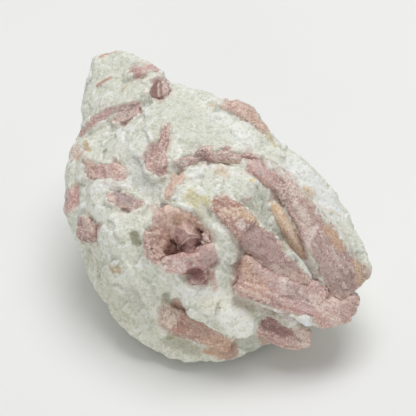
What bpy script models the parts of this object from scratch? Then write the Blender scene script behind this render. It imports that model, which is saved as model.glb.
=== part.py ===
"""Rubellite specimen: a broken block of white albite with pink tourmaline crystals grown through it.

Metres, +Z up. The display side faces -Y, +X is to its right, and the block stands on a flat broken face.
The named corners and stations below are in millimetres; main() sets the finished part on Z = 0.
"""

import math
import random
from dataclasses import dataclass

import bmesh
import bpy
from mathutils import Matrix, Vector, noise

MM = 0.001
BODY_VOXEL = 1.0 * MM  # the grid on which the broken surface is worked
BODY_TRIANGLES = 3200
CLEARANCE = 0.3  # mm between a crystal and the rock around it
FLUSH_RISE = 0.5 * MM  # how far a crystal that ends in the broken surface stands above it
SMOOTHING_LOSS = 0.35  # mm that the wearing down takes off, given back
ROCK_SEED = 4
BASE_LEVEL = -3.0  # mm, the height of the face that it stands on
COARSE_CHIP = 9.0  # mm
FINE_CHIP = 4.5  # mm

# Corners where the broken faces meet: x to the right, y away from the display side, z up.
MAIN_BLOCK = {
    # left side, from the seam under the tip round to the toe
    "step": (-30.3, 12.7, 25.5),
    "cheek_top": (-32.2, 9.6, 24.0),
    "cheek": (-32.5, 1.0, 20.0),
    "cheek_low": (-32.0, -3.0, 16.5),
    "jaw_top": (-30.4, -7.3, 13.0),
    "jaw": (-28.4, -11.0, 10.0),
    "jaw_low": (-26.2, -15.3, 7.5),
    "toe_left": (-23.4, -19.2, 5.6),
    "toe_corner": (-20.6, -23.9, 3.9),
    "toe_front_left": (-14.2, -27.5, 2.1),
    "toe_front": (-8.4, -29.7, 0.8),
    "toe_middle": (-2.6, -30.2, 0.5),
    "toe_front_right": (2.4, -29.4, 0.5),
    "toe_right": (8.3, -26.5, 1.5),
    # right side, up to the crest
    "right_foot": (19.0, -23.5, 4.0),
    "right_end": (32.4, -18.6, 14.0),
    "right_edge": (29.6, -15.6, 17.0),
    "right_rise": (26.9, -12.0, 19.4),
    "right_shoulder": (24.8, -8.6, 21.6),
    "right_corner": (24.2, -5.1, 25.1),
    "right_brow": (19.8, -3.6, 27.6),
    "brow": (16.6, -4.0, 28.2),
    "crest_right": (13.8, 0.6, 31.5),
    "crest_low": (9.1, 4.6, 34.3),
    "crest": (4.1, 8.9, 36.8),
    "crest_middle": (-3.0, 7.8, 36.9),
    "crest_top": (-10.6, 15.2, 37.6),
    # the display side, down to the groove
    "slope": (-10.9, 2.6, 36.0),
    "groove_left": (-8.1, -6.9, 33.2),
    "groove_middle": (-2.6, -5.3, 33.8),
    "groove_right": (3.5, -4.0, 33.8),
    "groove_end": (9.0, -5.6, 32.4),
    "cheek_face": (-20.3, 0.6, 31.0),
    "cheek_front": (-24.3, -6.4, 26.0),
    "face_left": (-20.9, -17.5, 22.0),
    "belly_left": (-16.8, -23.4, 15.0),
    "belly_low": (-21.2, -20.5, 9.5),
    # the far side
    "far_right": (25.0, 2.0, 16.0),
    "far_shoulder": (12.5, 11.0, 22.0),
    "far_brow": (1.0, 20.5, 26.5),
    "far_top": (-10.0, 27.0, 29.0),
    "far_right_low": (26.0, -4.0, 7.0),
    "far_low": (19.0, 10.0, 5.0),
    "far_foot": (7.0, 20.0, 4.0),
    "far_heel": (-7.0, 26.5, 5.0),
    "far_left": (-20.0, 28.0, 9.0),
    "left_back": (-28.5, 21.0, 12.0),
    "left_low": (-29.5, 9.0, 8.0),
    # under the face it stands on
    "base_front_left": (-12.0, -20.5, -4.2),
    "base_front": (1.0, -23.5, -4.2),
    "base_right": (12.0, -16.5, -4.2),
    "base_far_right": (14.0, -4.0, -4.2),
    "base_far": (5.0, 11.0, -4.2),
    "base_heel": (-9.0, 15.0, -4.2),
    "base_left_far": (-19.0, 6.0, -4.2),
    "base_left": (-18.0, -10.0, -4.2),
}
TIP_BLOCK = {
    "tip": (-21.9, 31.4, 36.4),
    "tip_left": (-27.2, 29.8, 34.2),
    "tip_cheek": (-29.0, 24.8, 30.8),
    "tip_foot": (-28.4, 18.6, 27.6),
    "seam_left": (-29.3, 14.4, 26.3),
    "seam_middle": (-24.0, 12.4, 31.8),
    "seam_end": (-16.0, 12.0, 35.8),
    "crest_notch": (-15.0, 23.6, 37.6),
    "crest_top": (-10.6, 15.8, 38.0),
    "under_left": (-28.0, 21.0, 13.0),
    "under_far": (-21.0, 29.0, 12.0),
    "under_right": (-9.0, 25.0, 22.0),
    "under_front": (-20.0, 13.0, 22.0),
    "under_crest": (-9.0, 13.0, 26.0),
}
FRONT_BLOCK = {
    # the ledge before the groove
    "ledge_back_left": (-9.2, -12.9, 33.2),
    "ledge_back": (-5.6, -10.2, 34.8),
    "ledge_crest": (-0.6, -9.4, 35.4),
    "ledge_back_right": (5.5, -9.2, 35.2),
    "ledge_right": (9.3, -11.4, 32.6),
    "ledge_front_left": (-10.8, -16.9, 30.6),
    "ledge_front": (-5.6, -16.6, 32.0),
    "ledge_front_middle": (-0.6, -16.3, 32.0),
    "ledge_front_right": (4.8, -15.0, 31.6),
    # the broken front, round the pit and under the crystals
    "pit_top": (-14.0, -17.6, 27.0),
    "pit_left": (-15.6, -22.0, 22.5),
    "pit_low": (-12.0, -26.6, 19.0),
    "blade_head": (1.2, -19.2, 28.5),
    "middle_low": (1.4, -25.9, 21.0),
    "fan_left": (2.6, -27.4, 15.5),
    "fan_low": (8.9, -26.8, 10.0),
    "fan_foot": (16.8, -24.6, 7.0),
    "trough": (14.6, -16.7, 21.5),
    "ridge_high": (16.7, -12.5, 24.0),
    "ridge_middle": (21.2, -16.4, 18.5),
    "ridge_end": (27.0, -19.7, 9.0),
    "root_left": (-8.0, -8.0, 24.0),
    "root_right": (8.0, -7.0, 24.0),
    "root_low": (0.0, -15.0, 6.0),
}
LOBE_BLOCK = {
    "top_left": (-7.2, -26.2, 16.6),
    "top": (-0.6, -25.8, 16.4),
    "top_right": (5.4, -26.4, 13.6),
    "right": (9.5, -27.6, 11.3),
    "belly_left": (-8.2, -30.0, 12.9),
    "belly": (-2.8, -32.0, 12.2),
    "lip": (3.0, -32.0, 8.2),
    "lip_right": (8.3, -30.0, 7.4),
    "root_top": (-4.0, -18.0, 16.0),
    "root_low": (4.0, -18.0, 7.0),
}
# Hollows (depth above 0) and swellings (below 0) worn along a path: depth, radius, path.
RELIEF = {
    "groove": (1.6, 3.4, ((-9.5, -8.5, 32.5), (-4.0, -6.2, 33.6), (3.0, -5.2, 33.6), (8.0, -6.0, 32.5))),
    "under_tip": (1.2, 3.0, ((-30.5, 12.5, 25.5), (-23.0, 11.5, 31.0), (-17.0, 11.5, 34.5))),
    "left_of_ledge": (1.6, 5.0, ((-13.0, -11.0, 30.0), (-15.0, -15.0, 27.5))),
    "under_blade": (1.8, 4.0, ((3.0, -23.0, 23.0), (10.0, -22.5, 17.0))),
    "trough": (1.5, 3.5, ((10.5, -13.5, 28.0), (20.0, -20.5, 14.5))),
    "left_hip": (-1.2, 6.0, ((-24.0, -8.0, 23.0), (-21.0, -14.0, 21.0))),
    "beside_pit": (-1.7, 3.6, ((0.0, -20.0, 27.0), (2.0, -22.6, 23.0))),
    "brow": (-1.0, 5.0, ((-16.0, -1.0, 32.0), (-9.0, 2.0, 35.5))),
    "crest_saddle": (1.5, 4.2, ((-9.0, 12.0, 38.0), (-4.0, 9.5, 38.0), (0.0, 8.6, 37.6))),
    "low_waist": (1.4, 5.0, ((-19.0, -24.0, 12.0), (-12.0, -27.5, 11.0), (-9.0, -28.0, 14.0))),
}

# Colours as an eye sees them, red, green and blue out of 255.
WHITE = (222, 221, 211)
PINK = (186, 160, 151)
MAUVE = (168, 140, 136)
BROWN_PINK = (158, 124, 112)
PEACH = (205, 172, 152)
TAN = (196, 172, 140)


@dataclass(frozen=True)
class Prism:
    """One crystal: stations (x, y, z, half width, half height) along its axis, and the way its broad face looks."""

    stations: tuple
    facing: tuple = (0.0, -0.5, 0.85)
    sides: int = 12
    square: float = 0.75  # 1 is an ellipse, less is squarer
    triangular: float = 0.06
    ragged: float = 0.04  # how far its sides wander, as a share of its width
    seed: int = 1


@dataclass(frozen=True)
class Crystal:
    """A crystal or a few grown together; a flush one ends in the broken surface."""

    prisms: tuple
    colour: tuple = PINK
    flush: bool = False


RIDGE = Crystal(
    (
        Prism(
            ((4.8, -8.2, 33.4, 1.5, 1.4), (9.3, -8.8, 32.4, 2.3, 2.0), (12.8, -10.0, 30.0, 1.8, 1.8)),
            facing=(0.1, -0.5, 0.86),
            sides=9,
            seed=2,
        ),
        Prism(
            ((9.8, -7.6, 32.4, 1.6, 1.8), (14.6, -11.2, 28.0, 2.5, 2.4), (19.8, -15.1, 22.4, 2.5, 2.5)),
            facing=(0.25, -0.45, 0.86),
            sides=11,
            square=0.6,
            seed=3,
        ),
        Prism(
            ((15.2, -12.2, 27.6, 2.3, 2.3), (20.6, -16.6, 20.4, 3.6, 3.2), (26.6, -21.2, 11.2, 3.7, 3.1)),
            facing=(0.2, -0.5, 0.84),
            square=0.6,
            seed=6,
        ),
        Prism(
            ((17.8, -10.9, 25.6, 1.4, 1.6), (22.7, -14.4, 20.1, 2.3, 2.2), (27.6, -18.9, 13.6, 2.5, 2.4)),
            facing=(0.45, -0.35, 0.82),
            sides=10,
            seed=4,
        ),
    ),
    BROWN_PINK,
)
BLADE = Crystal(
    (
        Prism(
            ((-1.0, -16.7, 31.3, 1.9, 1.5), (2.2, -17.9, 29.8, 3.0, 2.0), (5.6, -20.0, 27.1, 3.0, 2.1)),
            facing=(0.05, -0.6, 0.8),
            sides=10,
            square=0.9,
            seed=8,
        ),
        Prism(
            (
                (3.0, -18.6, 28.6, 2.4, 1.6),
                (9.6, -21.6, 23.4, 3.1, 1.8),
                (12.8, -22.6, 20.8, 2.9, 1.6),
                (15.9, -23.3, 18.2, 2.1, 1.3),
                (18.3, -24.0, 16.3, 0.9, 0.8),
            ),
            facing=(0.15, -0.6, 0.78),
            sides=10,
            square=0.55,
            triangular=0.0,
            seed=7,
        ),
    ),
    MAUVE,
)
FAN = Crystal(
    (
        Prism(
            (
                (4.8, -23.4, 21.0, 2.4, 1.9),
                (8.9, -23.4, 18.9, 2.9, 2.2),
                (13.7, -24.1, 16.1, 2.8, 2.3),
                (21.2, -24.3, 12.1, 2.4, 2.2),
            ),
            facing=(0.1, -0.7, 0.7),
            sides=10,
            seed=11,
        ),
        Prism(
            (
                (4.0, -25.6, 18.0, 2.2, 2.0),
                (8.9, -25.8, 15.6, 2.7, 2.3),
                (14.6, -26.4, 12.8, 2.3, 2.2),
                (21.8, -26.1, 9.6, 2.9, 2.5),
                (26.4, -24.6, 8.8, 2.0, 2.0),
            ),
            facing=(0.1, -0.72, 0.68),
            sides=11,
            square=0.6,
            seed=13,
        ),
        Prism(
            ((20.0, -23.2, 11.2, 2.4, 2.2), (24.6, -22.8, 9.8, 3.0, 2.7), (28.2, -22.6, 8.6, 2.3, 2.2)),
            facing=(0.3, -0.6, 0.75),
            sides=10,
            square=0.9,
            seed=12,
        ),
    ),
)
KNOB = Crystal(
    (
        Prism(
            (
                (8.4, -25.6, 7.0, 2.4, 2.2),
                (13.0, -27.0, 5.4, 3.0, 2.7),
                (17.0, -27.8, 4.4, 2.6, 2.3),
                (19.0, -28.0, 4.2, 1.5, 1.4),
            ),
            facing=(0.0, -0.6, 0.8),
            square=0.9,
            seed=15,
        ),
    ),
)
BASE = Crystal(
    (
        Prism(
            (
                (-12.8, -24.4, 10.8, 1.6, 1.2),
                (-9.8, -26.0, 8.8, 2.2, 1.5),
                (-3.8, -27.7, 6.4, 2.4, 1.5),
                (2.8, -28.4, 3.6, 2.2, 1.4),
            ),
            facing=(-0.1, -0.85, 0.5),
            square=0.6,
            seed=18,
        ),
    ),
    PEACH,
)
GROOVE = Crystal(
    (
        Prism(
            (
                (-8.4, -6.3, 32.0, 1.1, 1.4),
                (-5.7, -4.9, 32.8, 1.4, 1.5),
                (-2.6, -4.2, 33.4, 1.5, 1.6),
                (1.5, -3.8, 33.3, 1.5, 1.6),
                (4.8, -4.2, 32.6, 1.4, 1.5),
                (8.6, -4.8, 32.0, 1.2, 1.4),
            ),
            facing=(0.0, -0.7, 0.65),
            seed=21,
        ),
    ),
    MAUVE,
)
NEEDLE = Crystal(
    (
        Prism(
            (
                (11.1, -13.4, 28.2, 0.7, 0.8),
                (14.3, -15.8, 23.6, 0.9, 0.9),
                (17.8, -18.4, 18.4, 0.7, 0.8),
            ),
            sides=8,
            seed=23,
        ),
    ),
    TAN,
)
POCKET = Crystal(
    (
        Prism(
            (
                (-10.8, -24.2, 21.2, 1.5, 1.6),
                (-7.0, -24.8, 22.2, 2.1, 1.9),
                (-3.8, -24.6, 22.6, 1.9, 1.8),
            ),
            facing=(0.0, -0.75, 0.65),
            sides=10,
            square=0.55,
            seed=31,
        ),
        Prism(
            (
                (-4.0, -24.4, 22.4, 2.0, 1.8),
                (-1.4, -23.4, 23.8, 2.1, 1.8),
                (-0.2, -22.8, 24.4, 1.5, 1.4),
            ),
            facing=(0.0, -0.75, 0.65),
            sides=10,
            seed=32,
        ),
        Prism(
            ((-4.2, -23.6, 21.2, 2.1, 1.6), (-4.0, -27.6, 18.9, 2.1, 1.6)),
            facing=(0.0, 0.5, 0.85),
            sides=8,
            seed=33,
        ),
    ),
)
SEAM = Crystal(
    (
        Prism(
            (
                (-30.6, 13.5, 25.0, 1.2, 1.5),
                (-26.3, 13.3, 29.0, 1.2, 1.6),
                (-23.0, 13.0, 31.5, 1.2, 1.6),
                (-19.7, 12.7, 32.8, 1.1, 1.6),
                (-16.2, 12.2, 34.4, 0.8, 1.4),
            ),
            facing=(-0.4, -0.65, 0.65),
            sides=8,
            ragged=0.14,
            seed=41,
        ),
        Prism(
            ((-22.3, 11.6, 30.4, 0.9, 1.6), (-19.4, 11.0, 32.0, 1.3, 1.7), (-16.8, 10.6, 33.8, 0.9, 1.5)),
            facing=(-0.45, -0.2, 0.85),
            sides=8,
            ragged=0.14,
            seed=42,
        ),
    ),
    MAUVE,
    flush=True,
)
EYE = Crystal(
    (
        Prism(
            ((-11.1, 14.4, 34.4, 1.9, 2.8), (-12.8, 13.0, 38.2, 2.1, 3.1)),
            facing=(0.2, 1.0, 0.4),
            sides=9,
            square=0.9,
            seed=44,
        ),
    ),
    BROWN_PINK,
    flush=True,
)
CROWN = Crystal(
    (
        Prism(
            ((-19.8, 20.4, 35.8, 1.1, 1.5), (-15.9, 20.2, 36.9, 1.7, 1.7), (-11.8, 20.6, 37.4, 1.1, 1.6)),
            facing=(-0.25, -0.1, 0.95),
            sides=9,
            ragged=0.14,
            seed=46,
        ),
    ),
    flush=True,
)
DROP = Crystal(
    (
        Prism(
            ((-10.2, 1.8, 35.6, 0.9, 2.4), (-11.0, -1.2, 34.4, 1.0, 2.2), (-11.6, -3.6, 33.0, 1.2, 2.0)),
            facing=(-0.2, -0.5, 0.84),
            sides=8,
            ragged=0.14,
            seed=48,
        ),
        Prism(
            (
                (-11.7, -2.4, 33.4, 1.2, 1.7),
                (-12.6, -4.8, 32.0, 2.8, 1.9),
                (-12.4, -6.8, 30.9, 2.5, 1.9),
                (-12.0, -8.2, 30.2, 1.2, 1.7),
            ),
            facing=(-0.25, -0.5, 0.83),
            sides=10,
            ragged=0.14,
            seed=49,
        ),
    ),
    flush=True,
)
BACK = Crystal(
    (
        Prism(
            (
                (0.0, 8.2, 37.0, 0.8, 0.9),
                (3.4, 7.6, 37.0, 1.9, 1.6),
                (6.2, 6.0, 36.0, 2.0, 1.6),
                (8.8, 3.8, 34.2, 1.3, 1.2),
                (11.0, 2.0, 32.6, 0.7, 0.8),
            ),
            facing=(0.3, -0.1, 0.95),
            seed=51,
        ),
    ),
    PEACH,
)
CHEEK = Crystal(
    (
        Prism(
            (
                (-28.8, 1.0, 24.6, 1.6, 1.7),
                (-24.5, -1.9, 26.6, 2.2, 1.8),
                (-21.5, -4.0, 28.2, 2.2, 1.8),
                (-18.0, -5.7, 28.8, 1.2, 1.6),
            ),
            facing=(-0.6, -0.3, 0.74),
            sides=10,
            ragged=0.14,
            seed=53,
        ),
    ),
    flush=True,
)
OVAL = Crystal(
    (
        Prism(
            (
                (-22.6, -9.0, 25.8, 1.0, 1.5),
                (-19.2, -10.4, 26.2, 2.0, 1.7),
                (-16.2, -11.4, 25.9, 1.7, 1.7),
                (-14.6, -12.2, 25.8, 0.8, 1.5),
            ),
            facing=(-0.2, -0.55, 0.8),
            sides=9,
            ragged=0.14,
            seed=55,
        ),
    ),
    flush=True,
)
LEFT = Crystal(
    (
        Prism(
            ((-29.8, 0.4, 22.6, 1.0, 1.5), (-30.4, -1.6, 20.8, 1.7, 1.7), (-30.8, -4.2, 17.8, 1.2, 1.6)),
            facing=(-0.8, -0.35, 0.5),
            sides=8,
            ragged=0.14,
            seed=57,
        ),
    ),
    flush=True,
)
BLOCK = Crystal(
    (
        Prism(
            ((-24.6, -9.2, 17.9, 2.5, 2.5), (-27.4, -11.8, 19.6, 2.7, 2.7)),
            facing=(0.2, 0.3, 1.0),
            sides=10,
            square=0.55,
            triangular=0.0,
            seed=59,
        ),
    ),
    BROWN_PINK,
)
PEACH_EDGE = Crystal(
    (
        Prism(
            (
                (-6.9, -9.4, 32.4, 1.1, 1.6),
                (-7.8, -12.0, 32.9, 1.8, 1.7),
                (-9.2, -14.0, 32.0, 1.7, 1.7),
                (-10.6, -15.8, 30.6, 1.1, 1.5),
            ),
            facing=(-0.5, -0.3, 0.8),
            sides=9,
            ragged=0.14,
            seed=61,
        ),
    ),
    PEACH,
    flush=True,
)
# In the order of growth: each is cut back where it meets the ones before it.
CRYSTALS = {
    "blade_crystal": BLADE,
    "ridge_crystal": RIDGE,
    "fan_crystal": FAN,
    "knob_crystal": KNOB,
    "needle_crystal": NEEDLE,
    "groove_crystal": GROOVE,
    "base_crystal": BASE,
    "pocket_crystals": POCKET,
    "seam_crystal": SEAM,
    "eye_crystal": EYE,
    "crown_crystal": CROWN,
    "drop_crystal": DROP,
    "back_crystal": BACK,
    "cheek_crystal": CHEEK,
    "oval_crystal": OVAL,
    "left_crystal": LEFT,
    "block_crystal": BLOCK,
    "peach_crystal": PEACH_EDGE,
}

# The pit: its round hollows as centre, radii, a turn about the x axis in degrees and how finely they are cut.
PIT_HOLLOWS = (
    ((-8.6, -21.8, 26.4), (6.0, 5.2, 3.0), 48.0, 3),  # the wide mouth
    ((-8.7, -20.6, 22.4), (2.7, 2.6, 4.2), 28.0, 2),  # the deeper hole
    ((-3.9, -20.0, 25.0), (1.7, 2.8, 2.9), 32.0, 2),  # the cleft beside it
)
CRYSTAL_ENDS = (2.4, 0.6)  # mm across and slope of the crystal ends that the pit shows
LINING_LUMPS = (6.0, 0.35)  # the same of the rock behind them
CRUST = 1.5  # mm, the thickness of the crystals that line the pit
CRUST_COLOUR = (150, 118, 112)


def clear_scene():
    for old in list(bpy.data.objects):
        bpy.data.objects.remove(old)


def add_object(name, bm):
    mesh = bpy.data.meshes.new(name)
    bmesh.ops.recalc_face_normals(bm, faces=bm.faces)
    bm.to_mesh(mesh)
    bm.free()
    obj = bpy.data.objects.new(name, mesh)
    bpy.context.collection.objects.link(obj)
    return obj


def hull_block(name, corners):
    """The convex block whose corners are given."""
    bm = bmesh.new()
    for corner in corners.values():
        bm.verts.new(Vector(corner) * MM)
    hull = bmesh.ops.convex_hull(bm, input=bm.verts)
    inner = [v for v in hull["geom_interior"] if isinstance(v, bmesh.types.BMVert)]
    bmesh.ops.delete(bm, geom=inner, context="VERTS")
    return add_object(name, bm)


def apply_modifiers(obj):
    """Make the evaluated mesh the object's own."""
    graph = bpy.context.evaluated_depsgraph_get()
    mesh = bpy.data.meshes.new_from_object(obj.evaluated_get(graph))
    obj.modifiers.clear()
    obj.data = mesh


def boolean(obj, other, operation):
    """Join, cut or trim obj with other, which is used up."""
    modifier = obj.modifiers.new(operation, "BOOLEAN")
    modifier.operation = operation
    modifier.solver = "EXACT"
    modifier.object = other
    apply_modifiers(obj)
    bpy.data.objects.remove(other)


def keep_largest(obj):
    """Drop every loose chip but the largest body."""
    bm = bmesh.new()
    bm.from_mesh(obj.data)
    left = set(bm.verts)
    islands = []
    while left:
        stack = [left.pop()]
        island = list(stack)
        while stack:
            for edge in stack.pop().link_edges:
                for vertex in edge.verts:
                    if vertex in left:
                        left.remove(vertex)
                        stack.append(vertex)
                        island.append(vertex)
        islands.append(island)
    islands.sort(key=len)
    for island in islands[:-1]:
        bmesh.ops.delete(bm, geom=island, context="VERTS")
    bm.to_mesh(obj.data)
    bm.free()


def chips(point, size, slope):
    """Height of a surface broken into flat chips about this size, each tilted its own way."""
    seed = noise.voronoi(point / size)[1][0]
    tilt = noise.noise_vector(seed * 7.3)
    return (point - seed * size).dot(tilt) * slope


def path_distance(point, path):
    """How far a point is from a path of straight runs."""
    nearest = math.inf
    for start, end in zip(path, path[1:]):
        run = end - start
        share = max(0.0, min(1.0, (point - start).dot(run) / run.length_squared))
        nearest = min(nearest, (point - start - run * share).length)
    return nearest


def roughen(obj):
    """Wear the hollows and swellings into the joined blocks, and break the surface into chips and lumps."""
    paths = [(depth, radius, [Vector(p) for p in path]) for depth, radius, path in RELIEF.values()]
    mesh = obj.data
    normals = [v.normal.copy() for v in mesh.vertices]
    for vertex, normal in zip(mesh.vertices, normals):
        point = vertex.co / MM
        height = SMOOTHING_LOSS
        height += chips(point, COARSE_CHIP, 0.17)
        height += chips(point + Vector((40, 0, 0)), FINE_CHIP, 0.26)
        height += 0.35 * noise.noise(point / 3.0)
        for depth, radius, path in paths:
            share = 1 - path_distance(point, path) / radius
            if share > 0:
                height -= depth * share * share * (3 - 2 * share)
        vertex.co += normal * height * MM


def remesh(obj, voxel):
    modifier = obj.modifiers.new("grid", "REMESH")
    modifier.mode = "VOXEL"
    modifier.voxel_size = voxel
    apply_modifiers(obj)


def smooth(obj, rounds):
    modifier = obj.modifiers.new("wear", "SMOOTH")
    modifier.factor = 0.5
    modifier.iterations = rounds
    apply_modifiers(obj)


def decimate(obj, triangles):
    count = sum(len(face.vertices) - 2 for face in obj.data.polygons)
    modifier = obj.modifiers.new("facets", "DECIMATE")
    modifier.ratio = min(1.0, triangles / count)
    apply_modifiers(obj)


def cut_base(obj):
    """The flat broken face that the block stands on."""
    bm = bmesh.new()
    bm.from_mesh(obj.data)
    cut = bmesh.ops.bisect_plane(
        bm,
        geom=bm.verts[:] + bm.edges[:] + bm.faces[:],
        plane_co=(0, 0, BASE_LEVEL * MM),
        plane_no=(0, 0, -1),
        clear_outer=True,
    )
    rim = [e for e in cut["geom_cut"] if isinstance(e, bmesh.types.BMEdge)]
    bmesh.ops.holes_fill(bm, edges=rim)
    bmesh.ops.triangulate(bm, faces=bm.faces)
    bm.to_mesh(obj.data)
    bm.free()


def build_body():
    """The rock before anything grows in it: its blocks joined, broken up and cut flat below."""
    body = hull_block("matrix", MAIN_BLOCK)
    for name, corners in (("tip", TIP_BLOCK), ("front", FRONT_BLOCK), ("lobe", LOBE_BLOCK)):
        boolean(body, hull_block(name, corners), "UNION")
    remesh(body, BODY_VOXEL)
    smooth(body, 6)
    roughen(body)
    remesh(body, BODY_VOXEL)
    decimate(body, BODY_TRIANGLES)
    cut_base(body)
    keep_largest(body)
    return body


def cross_section(prism):
    """Unit outline of a prism: broad side up, fluted along its length as tourmaline is."""
    flutes = random.Random(prism.seed)
    outline = []
    for i in range(prism.sides):
        angle = math.tau * i / prism.sides
        across, up = math.cos(angle), math.sin(angle)
        radius = (1 - prism.triangular * math.cos(3 * (angle - math.pi / 2))) * flutes.uniform(0.93, 1.05)
        outline.append(
            (
                math.copysign(abs(across) ** prism.square, across) * radius,
                math.copysign(abs(up) ** prism.square, up) * radius,
            )
        )
    return outline


def prism_object(name, prism, grow):
    """A prism, larger all round by grow millimetres."""
    outline = cross_section(prism)
    wobble = random.Random(prism.seed + 100)
    facing = Vector(prism.facing)
    centres = [Vector(station[:3]) for station in prism.stations]
    bm = bmesh.new()
    rings = []
    last = len(centres) - 1
    for i, (centre, station) in enumerate(zip(centres, prism.stations)):
        along = (centres[min(i + 1, last)] - centres[max(i - 1, 0)]).normalized()
        up = (facing - along * facing.dot(along)).normalized()
        side = along.cross(up)
        if i == 0:
            centre = centre - along * grow
        if i == last:
            centre = centre + along * grow
        ring = []
        for across, height in outline:
            jog = 1 + wobble.uniform(-prism.ragged, prism.ragged)
            wide = across * jog * station[3]
            high = height * jog * station[4]
            reach = math.hypot(wide, high)
            wide *= 1 + grow / reach
            high *= 1 + grow / reach
            ring.append(bm.verts.new((centre + side * wide + up * high) * MM))
        rings.append(ring)
    bm.faces.new(reversed(rings[0]))
    bm.faces.new(rings[-1])
    for near, far in zip(rings, rings[1:]):
        for j in range(prism.sides):
            k = (j + 1) % prism.sides
            bm.faces.new((near[j], near[k], far[k], far[j]))
    bmesh.ops.triangulate(bm, faces=bm.faces)
    return add_object(name, bm)


def crystal_object(name, crystal, grow=0.0):
    """All the prisms of a crystal, joined."""
    whole = prism_object(name, crystal.prisms[0], grow)
    for prism in crystal.prisms[1:]:
        boolean(whole, prism_object("prism", prism, grow), "UNION")
    return whole


def pit_object(name, grow):
    """The pit's hollows, joined, larger all round by grow millimetres: crystal ends inside, lumps outside."""
    size, slope = CRYSTAL_ENDS if grow == 0 else LINING_LUMPS
    whole = None
    for centre, radii, turn, fineness in PIT_HOLLOWS:
        bm = bmesh.new()
        bmesh.ops.create_icosphere(bm, subdivisions=fineness if grow == 0 else 2, radius=1.0)
        place = Matrix.Translation(Vector(centre)) @ Matrix.Rotation(math.radians(turn), 4, "X")
        for vertex in bm.verts:
            direction = vertex.co.copy()
            point = place @ Vector([c * (r + grow) for c, r in zip(direction, radii)])
            point += direction * chips(place @ Vector([c * r for c, r in zip(direction, radii)]), size, slope)
            vertex.co = point * MM
        hollow = add_object(name, bm)
        if whole is None:
            whole = hollow
        else:
            boolean(whole, hollow, "UNION")
    return whole


def line_pit(matrix, surface, placed):
    """Open the pit in the rock and line it with one crust of small crystals."""
    crust = pit_object("pocket_crust", CRUST)
    boolean(crust, pit_object("hollow", 0.0), "DIFFERENCE")
    boolean(crust, copy_of(surface, "trim"), "INTERSECT")
    for neighbour in placed:
        boolean(crust, crystal_object("socket", neighbour, CLEARANCE), "DIFFERENCE")
    keep_largest(crust)
    boolean(matrix, pit_object("socket", CRUST + CLEARANCE), "DIFFERENCE")
    dress(crust, "pocket_crust", CRUST_COLOUR, 0.4)


def copy_of(obj, name):
    other = obj.copy()
    other.data = obj.data.copy()
    other.name = name
    bpy.context.collection.objects.link(other)
    return other


def raised(obj, rise):
    """A copy whose surface stands higher all over."""
    other = copy_of(obj, "raised")
    normals = [v.normal.copy() for v in other.data.vertices]
    for vertex, normal in zip(other.data.vertices, normals):
        vertex.co += normal * rise
    return other


def grow_crystals(matrix):
    """Set every crystal in its socket in the rock, clear of its neighbours."""
    surface = raised(matrix, FLUSH_RISE)
    placed = []
    for name, crystal in CRYSTALS.items():
        body = crystal_object(name, crystal)
        for neighbour in placed:
            boolean(body, crystal_object("socket", neighbour, CLEARANCE), "DIFFERENCE")
        if crystal.flush:
            boolean(body, copy_of(surface, "trim"), "INTERSECT")
        keep_largest(body)
        boolean(matrix, crystal_object("socket", crystal, CLEARANCE), "DIFFERENCE")
        dress(body, name, crystal.colour, 0.45)
        placed.append(crystal)
    line_pit(matrix, surface, placed)
    keep_largest(matrix)
    bpy.data.objects.remove(surface)


def dress(obj, name, colour, roughness):
    """Give a sub-part its own material, from its colour out of 255."""
    material = bpy.data.materials.new(name)
    material.use_nodes = True
    shader = material.node_tree.nodes["Principled BSDF"]
    linear = [(channel / 255) ** 2.2 for channel in colour]
    shader.inputs["Base Color"].default_value = (*linear, 1.0)
    shader.inputs["Roughness"].default_value = roughness
    obj.data.materials.clear()
    obj.data.materials.append(material)


def centre_on_origin():
    """Bring the middle of the whole specimen's footprint over the origin."""
    corners = [v.co for obj in bpy.data.objects for v in obj.data.vertices]
    middle = Vector(
        (
            (min(c.x for c in corners) + max(c.x for c in corners)) / 2,
            (min(c.y for c in corners) + max(c.y for c in corners)) / 2,
            min(c.z for c in corners),
        )
    )
    for obj in bpy.data.objects:
        obj.data.transform(Matrix.Translation(-middle))


def main():
    clear_scene()
    noise.seed_set(ROCK_SEED)
    matrix = build_body()
    grow_crystals(matrix)
    dress(matrix, "matrix", WHITE, 0.7)
    centre_on_origin()


main()
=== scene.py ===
"""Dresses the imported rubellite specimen: pink tourmaline crystals grown in a white albite rock.

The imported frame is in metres. Shapes are worked out here in millimetres and written back in metres.
"""

from __future__ import annotations

import logging
import math
from collections.abc import Iterable
from dataclasses import dataclass
from enum import Enum, IntEnum

import bmesh
import bpy
import numpy as np
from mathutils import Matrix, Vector
from mathutils.bvhtree import BVHTree

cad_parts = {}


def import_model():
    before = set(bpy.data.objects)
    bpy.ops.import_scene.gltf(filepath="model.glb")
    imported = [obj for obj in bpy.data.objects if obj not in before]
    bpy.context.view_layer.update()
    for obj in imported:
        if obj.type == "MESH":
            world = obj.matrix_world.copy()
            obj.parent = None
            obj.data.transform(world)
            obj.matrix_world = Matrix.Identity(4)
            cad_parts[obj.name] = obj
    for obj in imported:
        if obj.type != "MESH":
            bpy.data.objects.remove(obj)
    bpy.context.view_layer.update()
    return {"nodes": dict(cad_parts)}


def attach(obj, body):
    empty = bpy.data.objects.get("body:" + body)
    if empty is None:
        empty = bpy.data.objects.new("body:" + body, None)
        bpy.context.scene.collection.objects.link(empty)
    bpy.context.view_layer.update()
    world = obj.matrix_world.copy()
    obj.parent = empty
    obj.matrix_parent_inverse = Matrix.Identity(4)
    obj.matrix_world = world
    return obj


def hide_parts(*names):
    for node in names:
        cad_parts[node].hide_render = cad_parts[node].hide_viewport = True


MM = 0.001
STONE = "stone"
CRUMBS = "crumbs"
log = logging.getLogger("rubellite")

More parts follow.
